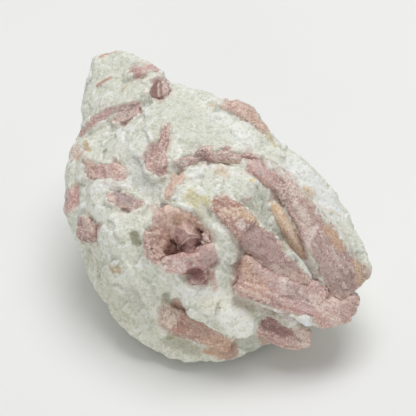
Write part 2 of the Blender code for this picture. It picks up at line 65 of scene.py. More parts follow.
Colour = tuple[float, float, float]
Spot = tuple[float, float]
Span = tuple[float, float]
Socket = bpy.types.NodeSocket
Feed = Socket | float | tuple[float, ...]  # what feeds a node's input: an output or a constant


class Slot(Enum):
    """The record's material slots."""

    ALBITE = "albite"
    PINK = "pink_tourmaline"
    DARK = "dark_tourmaline"
    PEACH = "peach_tourmaline"


class Salt(IntEnum):
    """What tells the stone's patterns from one another. Most of a crystal's patterns add its own number."""

    ROCK_SWELLS = 1
    ROCK_LUMPS = 2
    ROCK_CRUMBS = 3
    ROCK_CHIPS = 4
    ROCK_SMALL_CHIPS = 5
    RIM = 11
    RIM_FRAY = 12
    RIM_STAIN = 13
    RIM_RAGS = 14
    ROCK_TINT = 21
    ROCK_MOTTLE = 22
    MARK = 50
    STREAKS = 300
    LUMPS = 400
    CRUMBS = 500
    TINT = 600
    FLECKS = 700
    CHIPS = 800
    WARMTH = 820
    SMALL_CHIPS = 900


def linear(colour: Colour) -> np.ndarray:
    """Turn a display colour, 0 to 255, into linear light, 0 to 1."""
    part = np.asarray(colour, float) / 255.0
    return np.where(part <= 0.04045, part / 12.92, ((part + 0.055) / 1.055) ** 2.4)


def solid(light: np.ndarray) -> tuple[float, ...]:
    """Linear light as a colour that nothing shows through."""
    return (*light, 1.0)


def eased(value: np.ndarray, low: float, high: float) -> np.ndarray:
    """Rise smoothly from 0, up to the low value, to 1, from the high value on."""
    part = np.clip((value - low) / (high - low), 0.0, 1.0)
    return part * part * (3.0 - 2.0 * part)


def from_path(points: np.ndarray, path: np.ndarray) -> np.ndarray:
    """Measure how far points lie from a bent line.

    Args:
        points: places in millimetres.
        path: the line's places.

    Returns:
        A distance in millimetres for each point.
    """
    nearest = np.linalg.norm(points - path[0], axis=1)
    for start, end in zip(path, path[1:]):
        along = end - start
        length = max(float(along @ along), 1e-9)
        part = np.clip((points - start) @ along / length, 0.0, 1.0)
        nearest = np.minimum(nearest, np.linalg.norm(points - start - part[:, None] * along, axis=1))
    return nearest


@dataclass(frozen=True)
class Grain:
    """A pattern over points in millimetres, the same in every run."""

    size: float  # about how wide its swells or crumbs are in millimetres
    salt: int  # tells it from other patterns

    def chance(self, cells: np.ndarray, extra: int = 0) -> np.ndarray:
        """Draw a number for each cell of a grid.

        Args:
            cells: whole numbers, three for each cell.
            extra: tells one draw of the pattern from another.

        Returns:
            A number from 0 to 1 for each cell.
        """
        mask = 0xFFFFFFFF
        # Large odd factors and shifts scatter neighbouring cells.
        mixed = cells[..., 0] * 73856093 + cells[..., 1] * 19349663 + cells[..., 2] * 83492791
        mixed = (mixed + (self.salt + extra) * 668265263) & mask
        mixed = ((mixed ^ (mixed >> 15)) * 0x2C1B3C6D) & mask
        mixed = ((mixed ^ (mixed >> 12)) * 0x297A2D39) & mask
        mixed = mixed ^ (mixed >> 15)
        return (mixed & 0xFFFFFF) / float(0x1000000)

    def chances(self, cells: np.ndarray, extra: int, first: int = 0) -> np.ndarray:
        """Draw three numbers for each cell of a grid, with a step between draws and a first one."""
        return np.stack([self.chance(cells, extra * k + first) for k in range(3)], axis=1)

    def waves(self, points: np.ndarray) -> np.ndarray:
        """Swell smoothly over a distance.

        Args:
            points: places in millimetres.

        Returns:
            A number from about -1 to 1 for each point.
        """
        scaled = points / self.size + self.salt * 7.31
        low = np.floor(scaled).astype(np.int64)
        part = scaled - low
        ease = part**3 * (part * (part * 6.0 - 15.0) + 10.0)
        total = np.zeros(len(points))
        for corner in np.ndindex(2, 2, 2):
            step = np.array(corner)
            weight = np.where(step == 1, ease, 1.0 - ease).prod(axis=1)
            total += weight * ((self.chances(low + step, 101) * 2.0 - 1.0) * (part - step)).sum(axis=1)
        return total * 1.6

    def layers(self, points: np.ndarray, count: int) -> np.ndarray:
        """Add swells of ever finer size.

        Args:
            points: places in millimetres.
            count: how many sizes, each half the one before.

        Returns:
            A number from about -1 to 1 for each point.
        """
        total = np.zeros(len(points))
        for step in range(count):
            total += Grain(self.size / 2**step, self.salt + step).waves(points) / 2**step
        return total / (2.0 - 2.0 ** (1 - count))

    def cells(self, points: np.ndarray) -> tuple[np.ndarray, np.ndarray, np.ndarray]:
        """Part space into crumbs.

        Args:
            points: places in millimetres.

        Returns:
            For each point how far it lies from its crumb's border, from 0 to about 1, the step from its
            crumb's middle in crumb widths, and the crumb's own whole numbers.
        """
        scaled = points / self.size
        low = np.floor(scaled).astype(np.int64)
        nearest = np.full(len(points), 9.0)
        second = nearest.copy()
        step = np.zeros(points.shape)
        own = np.zeros(points.shape, np.int64)
        for offset in np.ndindex(3, 3, 3):
            cell = low + np.array(offset) - 1
            gap = scaled - cell - self.chances(cell, 31)
            away = np.linalg.norm(gap, axis=1)
            closer = away < nearest
            second = np.where(closer, nearest, np.minimum(second, away))
            nearest = np.where(closer, away, nearest)
            step[closer] = gap[closer]
            own[closer] = cell[closer]
        return np.clip(second - nearest, 0.0, 1.0), step, own

    def crumbs(self, points: np.ndarray) -> np.ndarray:
        """The height from 0 to 1 of crumbs laid over a surface, each as high as it happens to be."""
        edge, _, own = self.cells(points)
        return eased(edge, 0.0, 0.5) * self.chance(own, 977)

    def chips(self, points: np.ndarray) -> np.ndarray:
        """Break a surface into flat chips, each tilted its own way.

        Args:
            points: places in millimetres.

        Returns:
            A height in millimetres for each point, with slopes up to about 1.
        """
        _, step, own = self.cells(points)
        tilt = self.chances(own, 541, 5) * 2.0 - 1.0
        return self.size * (step * tilt).sum(axis=1)


@dataclass(frozen=True)
class Sight:
    """Where the display camera stands, and what each spot of its square view looks at."""

    aim: tuple[float, float, float] = (-1.7418, -1.4881, 20.0)  # the place in millimetres that it looks at
    distance: float = 320.0  # how far from it the camera stands in millimetres
    lens: float = 130.0  # its focal length in millimetres
    sensor: float = 36.0  # its sensor's width in millimetres
    elevation: float = 40.0  # how many degrees it looks down
    view: float = 416.0  # how many spots its view is wide and high

    def back(self) -> Vector:
        """The direction from the aim to the camera."""
        tilt = math.radians(self.elevation)
        return Vector((0.0, -math.cos(tilt), math.sin(tilt)))

    def up(self) -> Vector:
        """The direction that runs up its view."""
        return Vector((1.0, 0.0, 0.0)).cross(-self.back())

    def place(self) -> Vector:
        """Where the camera stands, in millimetres."""
        return Vector(self.aim) + self.back() * self.distance

    def reach(self) -> float:
        """How many spots wide a thing is that is as wide as it is far away."""
        return self.lens * self.view / self.sensor

    def ray(self, spot: Spot) -> Vector:
        """The direction, of length 1, in which a spot of the view lies."""
        across, down = spot[0] - self.view / 2.0, self.view / 2.0 - spot[1]
        return (-self.back() * self.reach() + Vector((across, 0.0, 0.0)) + self.up() * down).normalized()

    def camera(self) -> bpy.types.Object:
        """Set the camera up.

        Returns:
            The camera.
        """
        data = bpy.data.cameras.new("display_camera")
        data.lens = self.lens
        data.sensor_width = self.sensor
        data.clip_start = 0.01
        made = bpy.data.objects.new("display_camera", data)
        bpy.context.scene.collection.objects.link(made)
        made.location = self.place() * MM
        made.rotation_euler = (math.radians(90.0 - self.elevation), 0.0, 0.0)
        return made


@dataclass(frozen=True)
class Mark:
    """A stain, streak or swelling on the stone, placed on the display view."""

    path: tuple[Spot, ...]  # spots of the view that its middle line passes
    reach: float  # half its width in millimetres
    colour: Colour | None = None  # its colour, or None where it only shapes the stone
    cover: float = 0.7  # how fully the colour hides what lies under it
    lift: float = 0.0  # how far it raises the surface in millimetres, or sinks it below zero
    ragged: float = 0.5  # how far its border wanders in millimetres
    soft: float = 0.5  # how wide its border is in millimetres
    crumbs: float | None = None  # what it sets the share of pale crumbs to, or None
    bare: float = 0.0  # how far it moves a crystal's border outwards in millimetres, or inwards below zero


class Ground:
    """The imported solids: their surfaces as search trees, and what the display view sees of them."""

    STRIDE = 8.0  # spots of the view between two places of a path

    def __init__(self, nodes: dict[str, bpy.types.Object], sight: Sight) -> None:
        """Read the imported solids.

        Args:
            nodes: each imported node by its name.
            sight: the display camera's place.
        """
        self.nodes = nodes
        self.sight = sight
        self.trees: dict[str, BVHTree] = {}
        self.boxes: dict[str, tuple[np.ndarray, np.ndarray]] = {}
        every: list[np.ndarray] = []
        faces: list[np.ndarray] = []
        start = 0
        for name, node in sorted(nodes.items()):
            points, corners = self.arrays(node.data)
            self.trees[name] = BVHTree.FromPolygons(points.tolist(), corners.tolist())
            self.boxes[name] = (points.min(axis=0), points.max(axis=0))
            every.append(points)
            faces.append(corners + start)
            start += len(points)
        self.whole = BVHTree.FromPolygons(np.concatenate(every).tolist(), np.concatenate(faces).tolist())

    @staticmethod
    def arrays(mesh: bpy.types.Mesh) -> tuple[np.ndarray, np.ndarray]:
        """Read a mesh.

        Args:
            mesh: a mesh in metres.

        Returns:
            Its points in millimetres and its triangles.
        """
        points = np.empty(len(mesh.vertices) * 3)
        mesh.vertices.foreach_get("co", points)
        mesh.calc_loop_triangles()
        corners = np.empty(len(mesh.loop_triangles) * 3, np.int64)
        mesh.loop_triangles.foreach_get("vertices", corners)
        return points.reshape(-1, 3) / MM, corners.reshape(-1, 3)

    def seen(self, spot: Spot) -> np.ndarray:
        """Find what the display view shows at a spot.

        Args:
            spot: how far across and how far down the view.

        Returns:
            The place on the stone in millimetres. A spot beside the stone gives the stone's nearest place.
        """
        start = self.sight.place()
        way = self.sight.ray(spot)
        hit = self.whole.ray_cast(start, way)[0]
        if hit is None:
            near = start + way * (Vector(self.sight.aim) - start).dot(way)
            hit = self.whole.find_nearest(near)[0]
        return np.array(hit)

    def line(self, path: tuple[Spot, ...]) -> np.ndarray:
        """Lay a path of the view on the stone.

        Args:
            path: the path's spots.

        Returns:
            The places in millimetres that it passes.
        """
        places = [self.seen(path[0])]
        for start, end in zip(path, path[1:]):
            steps = max(1, round(math.dist(start, end) / self.STRIDE))
            for step in range(1, steps + 1):
                across, down = (one + (two - one) * (step / steps) for one, two in zip(start, end))
                places.append(self.seen((across, down)))
        return np.array(places)

    def within(self, points: np.ndarray, outline: tuple[Spot, ...]) -> np.ndarray:
        """Measure how far points lie inside an outline drawn on the display view.

        Args:
            points: places in millimetres.
            outline: the outline's corners, in order.

        Returns:
            About how far inside the outline each point lies in millimetres, below zero outside it.
        """
        sight = self.sight
        offset = points - np.array(sight.place())
        scale = sight.reach() / -(offset @ np.array(sight.back()))
        columns = sight.view / 2.0 + offset[:, 0] * scale
        rows = sight.view / 2.0 - (offset @ np.array(sight.up())) * scale
        corners = np.array(outline)
        away = from_path(np.stack([columns, rows], axis=1), np.concatenate([corners, corners[:1]]))
        inside = np.zeros(len(points), bool)
        for (across, down), (next_across, next_down) in zip(corners, np.roll(corners, -1, axis=0)):
            spans = (down > rows) != (next_down > rows)
            slope = (next_across - across) / (next_down - down if next_down != down else 1.0)
            inside ^= spans & (columns < across + (rows - down) * slope)
        return np.where(inside, away, -away) / scale

    def depth(self, name: str, points: np.ndarray, near: float) -> np.ndarray:
        """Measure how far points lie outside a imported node.

        Args:
            name: the node.
            points: places in millimetres.
            near: points further than this are given this distance.

        Returns:
            A distance in millimetres for each point, below zero inside the node.
        """
        low, high = self.boxes[name]
        result = np.full(len(points), near)
        inside = np.all((points > low - near) & (points < high + near), axis=1)
        tree = self.trees[name]
        for index in np.flatnonzero(inside):
            point = Vector(points[index])
            place, normal, _, away = tree.find_nearest(point)
            side = 1.0 if (point - place).dot(normal) >= 0.0 else -1.0
            result[index] = min(near, side * away)
        return result


class Surface:
    """A fine closed surface with a colour and a share of pale crumbs at each point."""

    WELD = 1e-6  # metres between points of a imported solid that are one
    SPREAD = 8  # rounds in which a point's height is averaged with its neighbours'
    RAGS = 1.3  # how wide the swells are, in millimetres, by which a mark's border wanders

    def __init__(self, name: str, mesh: bpy.types.Mesh) -> None:
        """Hold a mesh as arrays.

        Args:
            name: the piece's name.
            mesh: its mesh in metres.
        """
        self.name = name
        self.mesh = mesh
        count = len(mesh.vertices)
        flat = np.empty(count * 3)
        mesh.vertices.foreach_get("co", flat)
        self.points = flat.reshape(-1, 3) / MM
        pairs = np.empty(len(mesh.edges) * 2, np.int64)
        mesh.edges.foreach_get("vertices", pairs)
        self.edges = pairs.reshape(-1, 2)
        self.colour = np.ones((count, 3))
        self.crumbs = np.zeros(count)

    @classmethod
    def fused(cls, name: str, parts: list[tuple[bpy.types.Object, float]], voxel: float) -> Surface:
        """Fuse solids into one fine surface.

        Args:
            name: the piece's name.
            parts: each solid, and how far it is first grown in millimetres.
            voxel: the fineness of the surface in millimetres.

        Returns:
            The surface.
        """
        joined = bmesh.new()
        for node, growth in parts:
            part = bmesh.new()
            part.from_mesh(node.data)
            bmesh.ops.remove_doubles(part, verts=part.verts, dist=cls.WELD)
            part.normal_update()
            for vertex in part.verts:
                vertex.co += vertex.normal * growth * MM
            placed = bpy.data.meshes.new("part")
            part.to_mesh(placed)
            joined.from_mesh(placed)
            bpy.data.meshes.remove(placed)
            part.free()
        coarse = bpy.data.meshes.new("coarse")
        joined.to_mesh(coarse)
        joined.free()
        holder = bpy.data.objects.new("holder", coarse)
        bpy.context.scene.collection.objects.link(holder)
        remesh = holder.modifiers.new("fine", "REMESH")
        remesh.mode = "VOXEL"
        remesh.voxel_size = voxel * MM
        fine = bpy.data.meshes.new_from_object(holder.evaluated_get(bpy.context.evaluated_depsgraph_get()))
        bpy.data.objects.remove(holder)
        bpy.data.meshes.remove(coarse)
        return cls(name, fine)

    def around(self, values: np.ndarray) -> np.ndarray:
        """Add up a value over each point's neighbours.

        Args:
            values: one for each point.

        Returns:
            The sums.
        """
        one, two = self.edges.T
        count = len(self.points)
        return np.bincount(one, values[two], count) + np.bincount(two, values[one], count)

    def relax(self, times: int) -> None:
        """Even the surface out: in each round a point goes half the way to its neighbours' middle.

        Args:
            times: how many rounds.
        """
        near = self.around(np.ones(len(self.points)))
        for _ in range(times):
            total = np.stack([self.around(self.points[:, k]) for k in range(3)], axis=1)
            self.points += 0.5 * (total / near[:, None] - self.points)

    def proud(self, height: np.ndarray) -> np.ndarray:
        """Measure how far a height stands out from the heights around it.

        Args:
            height: in millimetres for each point.

        Returns:
            How far it stands out in millimetres, or lies in below zero.
        """
        near = 1.0 + self.around(np.ones(len(height)))
        level = height
        for _ in range(self.SPREAD):
            level = (level + self.around(level)) / near
        return height - level

    def normals(self) -> np.ndarray:
        """Find the outward directions.

        Returns:
            A direction of length 1 for each point.
        """
        self.mesh.vertices.foreach_set("co", (self.points * MM).ravel())
        self.mesh.update()
        flat = np.empty(len(self.points) * 3)
        self.mesh.vertex_normals.foreach_get("vector", flat)
        return flat.reshape(-1, 3)

    def raise_by(self, height: np.ndarray) -> None:
        """Move each point outwards by its height in millimetres."""
        self.points += self.normals() * height[:, None]

    def paint(self, mask: np.ndarray, colour: Colour) -> None:
        """Lay a display colour over the surface, as fully at each point as the mask says."""
        self.colour += np.clip(mask, 0.0, 1.0)[:, None] * (linear(colour) - self.colour)

    def apply(self, marks: tuple[Mark, ...], ground: Ground) -> tuple[np.ndarray, np.ndarray]:
        """Lay marks on the surface: their colours and crumbs at once, their heights for the caller to add.

        Args:
            marks: the marks, in the order in which they are laid.
            ground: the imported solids.

        Returns:
            For each point, how far the marks raise it and how far they bare the crystals, in millimetres.
        """
        lift = np.zeros(len(self.points))
        bare = np.zeros(len(self.points))
        for index, mark in enumerate(marks):
            path = ground.line(mark.path)
            reach = mark.reach + mark.ragged + mark.soft
            low = path.min(axis=0) - reach
            high = path.max(axis=0) + reach
            near = np.flatnonzero(np.all((self.points > low) & (self.points < high), axis=1))
            if not len(near):
                continue
            points = self.points[near]
            rags = Grain(self.RAGS, Salt.MARK + index).layers(points, 2)
            away = from_path(points, path) + mark.ragged * rags
            mask = eased(-away, -mark.reach - mark.soft / 2.0, -mark.reach + mark.soft / 2.0)
            if mark.colour is not None:
                covered = (mask * mark.cover)[:, None]
                self.colour[near] += covered * (linear(mark.colour) - self.colour[near])
            if mark.crumbs is not None:
                self.crumbs[near] += mask * (mark.crumbs - self.crumbs[near])
            if mark.lift:
                lift[near] += mark.lift * eased(-away, -mark.reach - mark.soft, 0.3 * mark.soft)
            bare[near] += mark.bare * mask
        return lift, bare

    def piece(self, material: bpy.types.Material, slot: Slot, *nodes: str) -> bpy.types.Object:
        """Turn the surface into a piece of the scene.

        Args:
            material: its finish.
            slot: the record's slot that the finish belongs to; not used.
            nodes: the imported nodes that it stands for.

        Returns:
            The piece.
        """
        mesh = self.mesh
        mesh.name = self.name
        mesh.vertices.foreach_set("co", (self.points * MM).ravel())
        mesh.update()
        mesh.polygons.foreach_set("use_smooth", np.ones(len(mesh.polygons), bool))
        shades = mesh.color_attributes.new(STONE, "FLOAT_COLOR", "POINT")
        rows = np.concatenate([np.clip(self.colour, 0.0, 1.0), np.ones((len(self.points), 1))], axis=1)
        shades.data.foreach_set("color", rows.ravel())
        share = mesh.attributes.new(CRUMBS, "FLOAT", "POINT")
        share.data.foreach_set("value", np.clip(self.crumbs, 0.0, 1.0))
        mesh.materials.clear()
        mesh.materials.append(material)
        made = bpy.data.objects.new(self.name, mesh)
        bpy.context.scene.collection.objects.link(made)
        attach(made, "root")
        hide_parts(*nodes)
        log.info("%s: %d points, %d faces", self.name, len(mesh.vertices), len(mesh.polygons))
        return made


class Bench:
    """A material's node tree while it is being laid out."""

    def __init__(self, name: str) -> None:
        """Start a material.

        Args:
            name: the material's name.
        """
        self.material = bpy.data.materials.new(name)
        self.material.use_nodes = True
        self.tree = self.material.node_tree
        self.tree.nodes.clear()

    def fill(self, socket: Socket, value: Feed) -> None:
        """Feed an input.

        Args:
            socket: the input.
            value: a constant, or the output that feeds it.
        """
        if isinstance(value, Socket):
            self.tree.links.new(value, socket)
        else:
            socket.default_value = value

    def add(self, kind: str, inputs: dict[str, Feed], **settings: str) -> bpy.types.Node:
        """Add a node.

        Args:
            kind: the node's type.
            inputs: for each input, by its name or its place, a constant or the output that feeds it.
            settings: the node's own properties.

        Returns:
            The node.
        """
        node = self.tree.nodes.new(kind)
        for name, value in settings.items():
            setattr(node, name, value)
        for name, value in inputs.items():
            self.fill(node.inputs[int(name) if name.isdigit() else name], value)
        return node

    def carried(self, attribute: str) -> bpy.types.Node:
        """What the surface carries at each point under a name."""
        return self.add("ShaderNodeAttribute", {}, attribute_name=attribute)

    def places(self, warp: float, warp_size: float) -> Socket:
        """Give places on the piece, shaken a little so that no pattern has straight borders.

        Args:
            warp: how far they are shaken in millimetres.
            warp_size: the size of the shaking's swells in millimetres.

        Returns:
            The output that holds the places, in metres.
        """
        spots = self.add("ShaderNodeTexCoord", {}).outputs["Object"]
        swells = {"Vector": spots, "Scale": 1.0 / (warp_size * MM), "Detail": 2.0}
        shake = self.add("ShaderNodeTexNoise", swells).outputs["Color"]
        centred = self.worked("ShaderNodeVectorMath", "SUBTRACT", {"0": shake, "1": (0.5, 0.5, 0.5)})
        scaled = self.worked("ShaderNodeVectorMath", "SCALE", {"0": centred, "Scale": 2.0 * warp * MM})
        return self.worked("ShaderNodeVectorMath", "ADD", {"0": spots, "1": scaled})

    def noise(self, places: Socket, size: float, detail: float = 2.0) -> Socket:
        """A noise from 0 to 1 whose swells have a size in millimetres."""
        inputs = {"Vector": places, "Scale": 1.0 / (size * MM), "Detail": detail}
        return self.add("ShaderNodeTexNoise", inputs).outputs[0]

    def cells(self, places: Socket, size: float) -> bpy.types.Node:
        """Crumbs of a size in millimetres."""
        return self.add("ShaderNodeTexVoronoi", {"Vector": places, "Scale": 1.0 / (size * MM)})

    def worked(self, kind: str, operation: str, inputs: dict[str, Feed]) -> Socket:
        """Work a value or a place out of others."""
        return self.add(kind, inputs, operation=operation).outputs[0]

    def ranged(self, value: Socket, span: Span, to: Span = (0.0, 1.0)) -> Socket:
        """Carry a value from one span to another, held at the ends."""
        inputs = {"Value": value, "From Min": span[0], "From Max": span[1], "To Min": to[0], "To Max": to[1]}
        return self.add("ShaderNodeMapRange", inputs).outputs[0]

    def mixed(self, share: Feed, one: Feed, two: Feed, blend: str = "MIX") -> Socket:
        """Mix two colours, each a constant or an output.

        Args:
            share: how much of the second one shows, a constant or an output.
            one: the first colour.
            two: the second colour.
            blend: how they mix.

        Returns:
            The mixed colour.
        """
        node = self.add("ShaderNodeMix", {}, data_type="RGBA", blend_type=blend)
        named = {socket.identifier: socket for socket in node.inputs}
        for key, value in (("Factor_Float", share), ("A_Color", one), ("B_Color", two)):
            self.fill(named[key], value)
        return next(socket for socket in node.outputs if socket.identifier == "Result_Color")

    def finished(self, inputs: dict[str, Feed]) -> bpy.types.Material:
        """Give the material its shader.

        Args:
            inputs: for each of the shader's inputs a constant, or the output that feeds it.

        Returns:
            The material.
        """
        shader = self.add("ShaderNodeBsdfPrincipled", inputs)
        self.add("ShaderNodeOutputMaterial", {"Surface": shader.outputs[0]})
        return self.material


@dataclass(frozen=True)
class StoneFinish:
    """How broken stone takes the light."""

    name: str  # the material's name
    slot: Slot  # the record's slot that it belongs to
    crumb: float  # the width of its sugary crumbs in millimetres
    pale: Colour  # the colour of the pale crumbs
    dull: Colour  # the colour that the darkest crumbs are multiplied by
    rough: Span  # the roughness of its smoothest and its roughest places
    glow: float  # how much light goes into the stone and comes out again
    glow_depth: float  # how far that light goes in millimetres
    bump: float  # the height of the crumbs in millimetres
    shine: float  # the specular level
    most_pale: float = 0.65  # the share of pale crumbs where the surface carries a full share
    pale_cover: float = 0.62  # how fully a pale crumb hides the stone's colour
    dull_share: float = 0.3  # how many crumbs are dark
    tone: Span = (0.90, 1.07)  # the factors that its finest grain shades the stone by
    glow_tint: Colour = (1.0, 0.92, 0.8)  # how far red, green and blue light go compared with the full depth

    def material(self) -> bpy.types.Material:
        """Lay the finish out.

        Returns:
            The material.
        """
        bench = Bench(self.name)
        places = bench.places(0.5 * self.crumb, 1.4 * self.crumb)
        cells = bench.cells(places, self.crumb)
        parts = bench.add("ShaderNodeSeparateColor", {"Color": cells.outputs["Color"]})
        least = bench.ranged(bench.carried(CRUMBS).outputs["Fac"], (0.0, 1.0), (1.0, 1.0 - self.most_pale))
        over = bench.worked("ShaderNodeMath", "SUBTRACT", {"0": parts.outputs[0], "1": least})
        pale = bench.ranged(over, (-0.02, 0.14), (0.0, self.pale_cover))
        dull = bench.ranged(parts.outputs[1], (1.0 - self.dull_share, 1.0 - self.dull_share + 0.15))
        fine = bench.noise(places, 0.6 * self.crumb, 3.0)
        tone = bench.ranged(fine, (0.3, 0.7), self.tone)
        shade = bench.add("ShaderNodeCombineColor", {"0": tone, "1": tone, "2": tone})
        colour = bench.mixed(pale, bench.carried(STONE).outputs["Color"], solid(linear(self.pale)))
        colour = bench.mixed(dull, colour, solid(linear(self.dull)), "MULTIPLY")
        colour = bench.mixed(1.0, colour, shade.outputs[0], "MULTIPLY")
        grainy = bench.ranged(cells.outputs["Distance"], (0.0, 0.8), (1.0, 0.0))
        height = bench.worked("ShaderNodeMath", "ADD", {"0": grainy, "1": fine})
        relief = {"Height": height, "Strength": 1.0, "Distance": self.bump * MM}
        return bench.finished(
            {
                "Base Color": colour,
                "Roughness": bench.ranged(parts.outputs[2], (0.1, 0.9), self.rough),
                "Normal": bench.add("ShaderNodeBump", relief).outputs[0],
                "Specular IOR Level": self.shine,
                "Subsurface Weight": self.glow,
                "Subsurface Radius": self.glow_tint,
                "Subsurface Scale": self.glow_depth * MM,
            }
        )


ALBITE = StoneFinish(
    "sugary_albite", Slot.ALBITE, crumb=0.5, pale=(250, 250, 246), dull=(236, 238, 230),
    rough=(0.4, 0.8), glow=0.25, glow_depth=1.0, bump=0.08, shine=0.4,
)
ROSE = StoneFinish(
    "rose_tourmaline", Slot.PINK, crumb=0.34, pale=(246, 228, 216), dull=(238, 220, 216),
    rough=(0.2, 0.55), glow=0.25, glow_depth=0.7, bump=0.07, shine=0.55,
)
MAUVE = StoneFinish(
    "mauve_tourmaline", Slot.DARK, crumb=0.33, pale=(242, 226, 214), dull=(234, 216, 212),
    rough=(0.2, 0.55), glow=0.2, glow_depth=0.6, bump=0.07, shine=0.6,
)
PEACH = StoneFinish(
    "peach_tourmaline", Slot.PEACH, crumb=0.34, pale=(244, 228, 212), dull=(238, 222, 212),
    rough=(0.26, 0.6), glow=0.25, glow_depth=0.7, bump=0.06, shine=0.5,
)


@dataclass(frozen=True)
class Crystal:
    """One crystal or grown-together group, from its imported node."""

    node: str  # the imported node, whose name the piece also takes
    finish: StoneFinish  # its finish
    axis: tuple[Spot, Spot]  # two spots of the display view on its long axis
    body: Colour  # its main colour
    light: Colour  # the colour of its pale swells
    dark: Colour  # the colour of its dark swells
    outline: tuple[Spot, ...]  # how much of it the rock leaves bare, drawn on the display view
    marks: tuple[Mark, ...] = ()  # what is laid on it
    streak: float = 0.1  # the height of its striations in millimetres
    streak_size: float = 0.6  # the width of its striations in millimetres
    rough: float = 0.22  # the height of its lumps in millimetres
    rough_size: float = 1.6  # the width of its lumps in millimetres
    chip: float = 0.16  # how steeply its broken facets tilt
    crumbs: float = 0.35  # the share of pale crumbs on it
    growth: float = 0.1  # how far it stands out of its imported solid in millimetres
    worn: int = 5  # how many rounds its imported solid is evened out


@dataclass(frozen=True)
class CrystalPiece:
    """Builds and dresses one crystal."""

    crystal: Crystal  # what it is like
    ground: Ground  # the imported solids
    number: int  # its own number, which tells its patterns from the other crystals'
    voxel: float = 0.22  # the fineness of its surface in millimetres
    streak_stretch: float = 6.0  # how many times longer its striations are than wide
    lump_stretch: float = 2.4  # how many times longer its lumps and tints are than wide
    tint_size: float = 2.6  # the width of its broad tints in millimetres
    fleck_size: float = 0.6  # the width of its flecks and crumbs in millimetres
    warmth_size: float = 1.5  # the width of its warm and its rosy places in millimetres
    chip_sizes: Span = (2.4, 1.1)  # the widths of its broken facets in millimetres
    crumb_height: float = 0.07  # the height of its crumbs in millimetres
    warm: Colour = (226, 186, 156)  # the colour of its warm places
    rosy: Colour = (206, 158, 162)  # the colour of its rosy places
    painted_edge_highlight: Colour = (244, 226, 214)  # the colour of the painted highlight on what stands out of it
    painted_hollow_shade: Colour = (156, 118, 110)  # the colour of the painted shade in what lies deep in it
    dusty: Span = (0.0, 0.7)  # how far inside its border the rock's dust is full, and ends
    dust: Colour = (230, 218, 206)  # the colour of that dust

    def squeezed(self, points: np.ndarray, stretch: float) -> np.ndarray:
        """Squeeze places along the crystal, so that what is laid on them comes out drawn out.

        Args:
            points: places in millimetres.
            stretch: how many times longer things become along the crystal.

        Returns:
            The squeezed places.
        """
        start, end = (self.ground.seen(spot) for spot in self.crystal.axis)
        axis = (end - start) / max(np.linalg.norm(end - start), 1e-6)
        return points - np.outer((points @ axis) * (1.0 - 1.0 / stretch), axis)

    def grain(self, size: float, salt: Salt) -> Grain:
        """One of the crystal's own patterns."""
        return Grain(size, salt + self.number)

    def build(self) -> Surface:
        """Shape the crystal.

        Returns:
            Its surface, coloured.
        """
        stone = self.crystal
        surface = Surface.fused(stone.node, [(self.ground.nodes[stone.node], 0.0)], self.voxel)
        surface.relax(stone.worn)
        points = surface.points.copy()
        drawn = self.squeezed(points, self.lump_stretch)
        along = self.squeezed(points, self.streak_stretch)
        streaks = self.grain(stone.streak_size, Salt.STREAKS).layers(along, 2)
        flecks = self.grain(self.fleck_size, Salt.FLECKS).layers(drawn, 2)
        self.tint(surface, drawn, streaks, flecks)
        lift, _ = surface.apply(stone.marks, self.ground)
        height = self.relief(points, drawn, streaks) + lift
        proud = surface.proud(height)
        # Painted highlight on what stands out, painted shade in what lies deep.
        surface.paint(0.35 * eased(proud + 0.08 * flecks, 0.03, 0.15), self.painted_edge_highlight)
        surface.paint(0.3 * eased(-proud - 0.05 * flecks, 0.03, 0.16), self.painted_hollow_shade)
        rim = self.ground.within(points, stone.outline)
        near_rock = (1.0 - eased(rim + 0.5 * flecks, *self.dusty)) * (rim > -3.0)
        surface.paint(0.5 * near_rock * eased(flecks, -0.5, 0.3), self.dust)
        surface.crumbs += 0.3 * near_rock
        surface.raise_by(height + stone.growth)
        return surface

    def relief(self, points: np.ndarray, drawn: np.ndarray, streaks: np.ndarray) -> np.ndarray:
        """The height of the crystal's striations, lumps, crumbs and broken facets.

        Args:
            points: places in millimetres.
            drawn: the places on which drawn-out things are laid.
            streaks: the striations' height from -1 to 1.

        Returns:
            A height in millimetres for each point.
        """
        stone = self.crystal
        large, small = self.chip_sizes
        lumps = self.grain(stone.rough_size, Salt.LUMPS).layers(drawn, 2)
        height = stone.streak * streaks + stone.rough * lumps
        height += self.crumb_height * self.grain(self.fleck_size, Salt.CRUMBS).crumbs(points)
        chips = self.grain(large, Salt.CHIPS).chips(drawn) + 0.6 * Grain(small, Salt.SMALL_CHIPS).chips(drawn)
        return height + stone.chip * chips

    def tint(self, surface: Surface, drawn: np.ndarray, streaks: np.ndarray, flecks: np.ndarray) -> None:
        """Colour the crystal by its striations and flecks, the striations painted lighter where they stand up
        and darker in their grooves as painted light and shade.

        Args:
            surface: its surface.
            drawn: the places on which drawn-out things are laid.
            streaks: the striations' height from -1 to 1.
            flecks: a number from -1 to 1 that is high on a pale fleck.
        """
        stone = self.crystal
        broad = self.grain(self.tint_size, Salt.TINT).layers(drawn, 2)
        # The striations' share paints light on their raised ridges and shade in their grooves; broad swells
        # and flecks are the crystal's own tone.
        shade = 0.25 * broad + 0.7 * flecks + 0.9 * streaks
        warmth = self.grain(self.warmth_size, Salt.WARMTH).layers(drawn, 2) + 0.5 * flecks
        surface.colour[:] = linear(stone.body)
        # Pale crumbs gather on raised striations: partly pale grains, partly painted glints.
        surface.crumbs[:] = stone.crumbs * (1.0 + 1.2 * broad + 1.2 * streaks)
        surface.paint(0.7 * eased(shade, -0.1, 0.8), stone.light)
        surface.paint(0.7 * eased(-shade, 0.0, 0.8), stone.dark)
        surface.paint(0.35 * eased(warmth, 0.1, 0.7), self.warm)
        surface.paint(0.35 * eased(-warmth, 0.1, 0.7), self.rosy)

